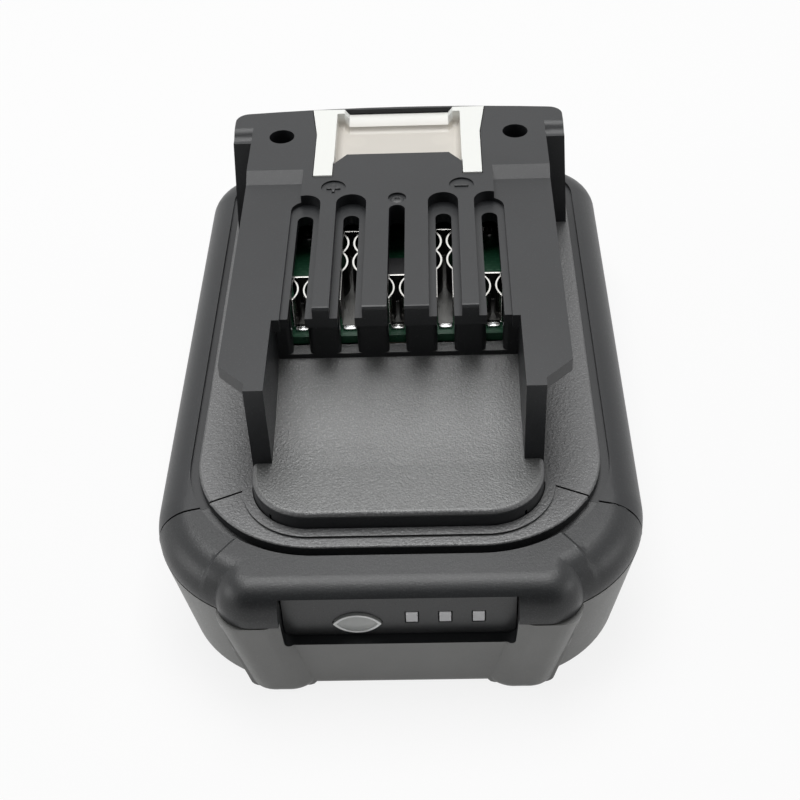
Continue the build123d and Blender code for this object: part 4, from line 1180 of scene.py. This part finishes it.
@dataclass
class Studio:
    """Floor, lamps, world and camera."""

    camera_place: Point = (7.14 * MM, -192.75 * MM, 184.05 * MM)
    lens: float = 63.54
    pitch: float = radians(42.29)
    yaw: float = radians(-2.29)
    roll: float = radians(-2.7)
    floor_size: float = 8.0
    floor_colour: Colour = (0.82, 0.82, 0.82)
    floor_glow: float = 0.85
    room_light: float = 0.2
    target: Point = (0.0, 0.0, 0.02)
    sensor_width: float = 36.0
    clip: Pair = (0.01, 20.0)
    card_y: float = -0.55
    card_half: float = 0.55
    card_span: Pair = (0.02, 0.95)
    card_tone: float = 0.06
    lamps: list[tuple[str, Point, float, float]] = field(
        default_factory=lambda: [
            ("key", (-0.03, 0.17, 0.64), 0.48, 3.9),
            ("left_strip", (-0.50, -0.12, 0.18), 0.25, 0.5),
            ("right_strip", (0.55, -0.10, 0.20), 0.25, 0.4),
        ]
    )

    def build_camera(self) -> None:
        """Place the camera where the photograph was taken from."""
        forward = Vector((sin(self.yaw) * cos(self.pitch), cos(self.yaw) * cos(self.pitch), -sin(self.pitch)))
        right = Vector((cos(self.yaw), -sin(self.yaw), 0.0))
        up = right.cross(forward)
        turned_right = cos(self.roll) * right + sin(self.roll) * up
        turned_up = -sin(self.roll) * right + cos(self.roll) * up
        axes = Matrix((turned_right, turned_up, -forward)).transposed()
        data = bpy.data.cameras.new("studio_camera")
        data.lens = self.lens
        data.sensor_width = self.sensor_width
        data.clip_start, data.clip_end = self.clip
        camera = bpy.data.objects.new("studio_camera", data)
        camera.matrix_world = Matrix.Translation(self.camera_place) @ axes.to_4x4()
        bpy.context.scene.collection.objects.link(camera)
        bpy.context.scene.camera = camera

    def seen_directly(self, tree: NodeTree) -> NodeSocket:
        """Give a mask that is 1 for camera, glossy and transmission rays."""
        rays = put(tree, "LightPath").outputs
        first = put(tree, "Math", None, {0: rays["Is Camera Ray"], 1: rays["Is Glossy Ray"]}, operation="MAXIMUM")
        links = {0: first.outputs[0], 1: rays["Is Transmission Ray"]}
        return put(tree, "Math", None, links, operation="MAXIMUM").outputs[0]

    def stand_sheet(self, name: str, paint: str, stretch: Matrix) -> tuple[Object, NodeTree]:
        """Set up a flat sheet of the studio with an empty material.

        Args:
            name: The sheet's name.
            paint: Its material's name.
            stretch: Where it stands and how large it is, from a sheet of 2 by 2.

        Returns:
            The sheet and its material's tree.
        """
        shape = bmesh.new()
        bmesh.ops.create_grid(shape, x_segments=1, y_segments=1, size=1.0, matrix=stretch)
        mesh = bpy.data.meshes.new(name)
        shape.to_mesh(mesh)
        shape.free()
        sheet = bpy.data.objects.new(name, mesh)
        bpy.context.scene.collection.objects.link(sheet)
        material = bpy.data.materials.new(paint)
        material.use_nodes = True
        material.node_tree.nodes.clear()
        mesh.materials.append(material)
        return sheet, material.node_tree

    def build_floor(self) -> None:
        """Lay the pale floor, which looks white and keeps a soft shadow."""
        half = self.floor_size / 2
        floor, tree = self.stand_sheet("floor", "floor_paper", Matrix.Diagonal((half, half, 1.0, 1.0)))
        paper = put(tree, "BsdfDiffuse", {"Color": (*self.floor_colour, 1.0)})
        glow = put(tree, "Emission", {"Color": WHITE})
        share = put(tree, "Math", {1: self.floor_glow}, {0: self.seen_directly(tree)}, operation="MULTIPLY")
        mix = put(tree, "MixShader", None, {0: share.outputs[0], 1: paper.outputs[0], 2: glow.outputs[0]})
        put(tree, "OutputMaterial", None, {"Surface": mix.outputs[0]})

    def build_card(self) -> None:
        """Stand a dark sheet behind the camera, where the photographer would be, seen in reflections only: painted
        shade in the reflections.
        """
        low, high = self.card_span
        stand = Matrix.Translation((0.0, self.card_y, (low + high) / 2)) @ Matrix.Rotation(pi / 2, 4, "X")
        stretch = Matrix.Diagonal((self.card_half, (high - low) / 2, 1.0, 1.0))
        card, tree = self.stand_sheet("reflection_shade_card", "painted_reflection_shade", stand @ stretch)
        # Painted shade: the sheet glows a constant dark grey and is hidden from the camera, from diffuse light and
        # from shadows, so it only darkens reflections.
        shade_glow = put(tree, "Emission", {"Color": (self.card_tone, self.card_tone, self.card_tone, 1.0)})
        put(tree, "OutputMaterial", None, {"Surface": shade_glow.outputs[0]})
        card.visible_camera = False
        card.visible_diffuse = False
        card.visible_transmission = False
        card.visible_shadow = False

    def build_world(self) -> None:
        """Fill the room with soft light and a white surround."""
        world = bpy.data.worlds.new("studio_world")
        bpy.context.scene.world = world
        world.use_nodes = True
        tree = world.node_tree
        tree.nodes.clear()
        room = put(tree, "Background", {"Color": WHITE, "Strength": self.room_light})
        white = put(tree, "Background", {"Color": WHITE, "Strength": 1.0})
        mix = put(tree, "MixShader", None, {0: self.seen_directly(tree), 1: room.outputs[0], 2: white.outputs[0]})
        put(tree, "OutputWorld", None, {"Surface": mix.outputs[0]})

    def build_lamps(self) -> None:
        """Hang the soft boxes, each aimed at the pack."""
        for name, place, size, power in self.lamps:
            data = bpy.data.lights.new(name, "AREA")
            data.shape = "SQUARE"
            data.size = size
            data.energy = power
            lamp = bpy.data.objects.new(name, data)
            aim = Vector(self.target) - Vector(place)
            lamp.matrix_world = Matrix.Translation(place) @ aim.to_track_quat("-Z", "Y").to_matrix().to_4x4()
            bpy.context.scene.collection.objects.link(lamp)

    def make(self) -> None:
        """Set up the whole studio."""
        bpy.context.scene.view_settings.view_transform = "Standard"
        self.build_camera()
        self.build_floor()
        self.build_card()
        self.build_world()
        self.build_lamps()


def main() -> None:
    """Build the pack's sub-assemblies in order, then the studio."""
    logging.basicConfig(level=logging.INFO, format="%(name)s: %(message)s")
    finishes = Finishes()
    groups = (
        Housing(finishes),
        ChargeGauge(finishes),
        ReleaseLatch(finishes),
        ContactSet(finishes),
        MouldedMarks(finishes),
        Fasteners(finishes),
        CellRow(finishes),
    )
    for group in groups:
        for piece in group.make():
            LOG.info("%s: built %s", type(group).__name__, piece.name)
    Studio().make()


if __name__ == "__main__":
    main()
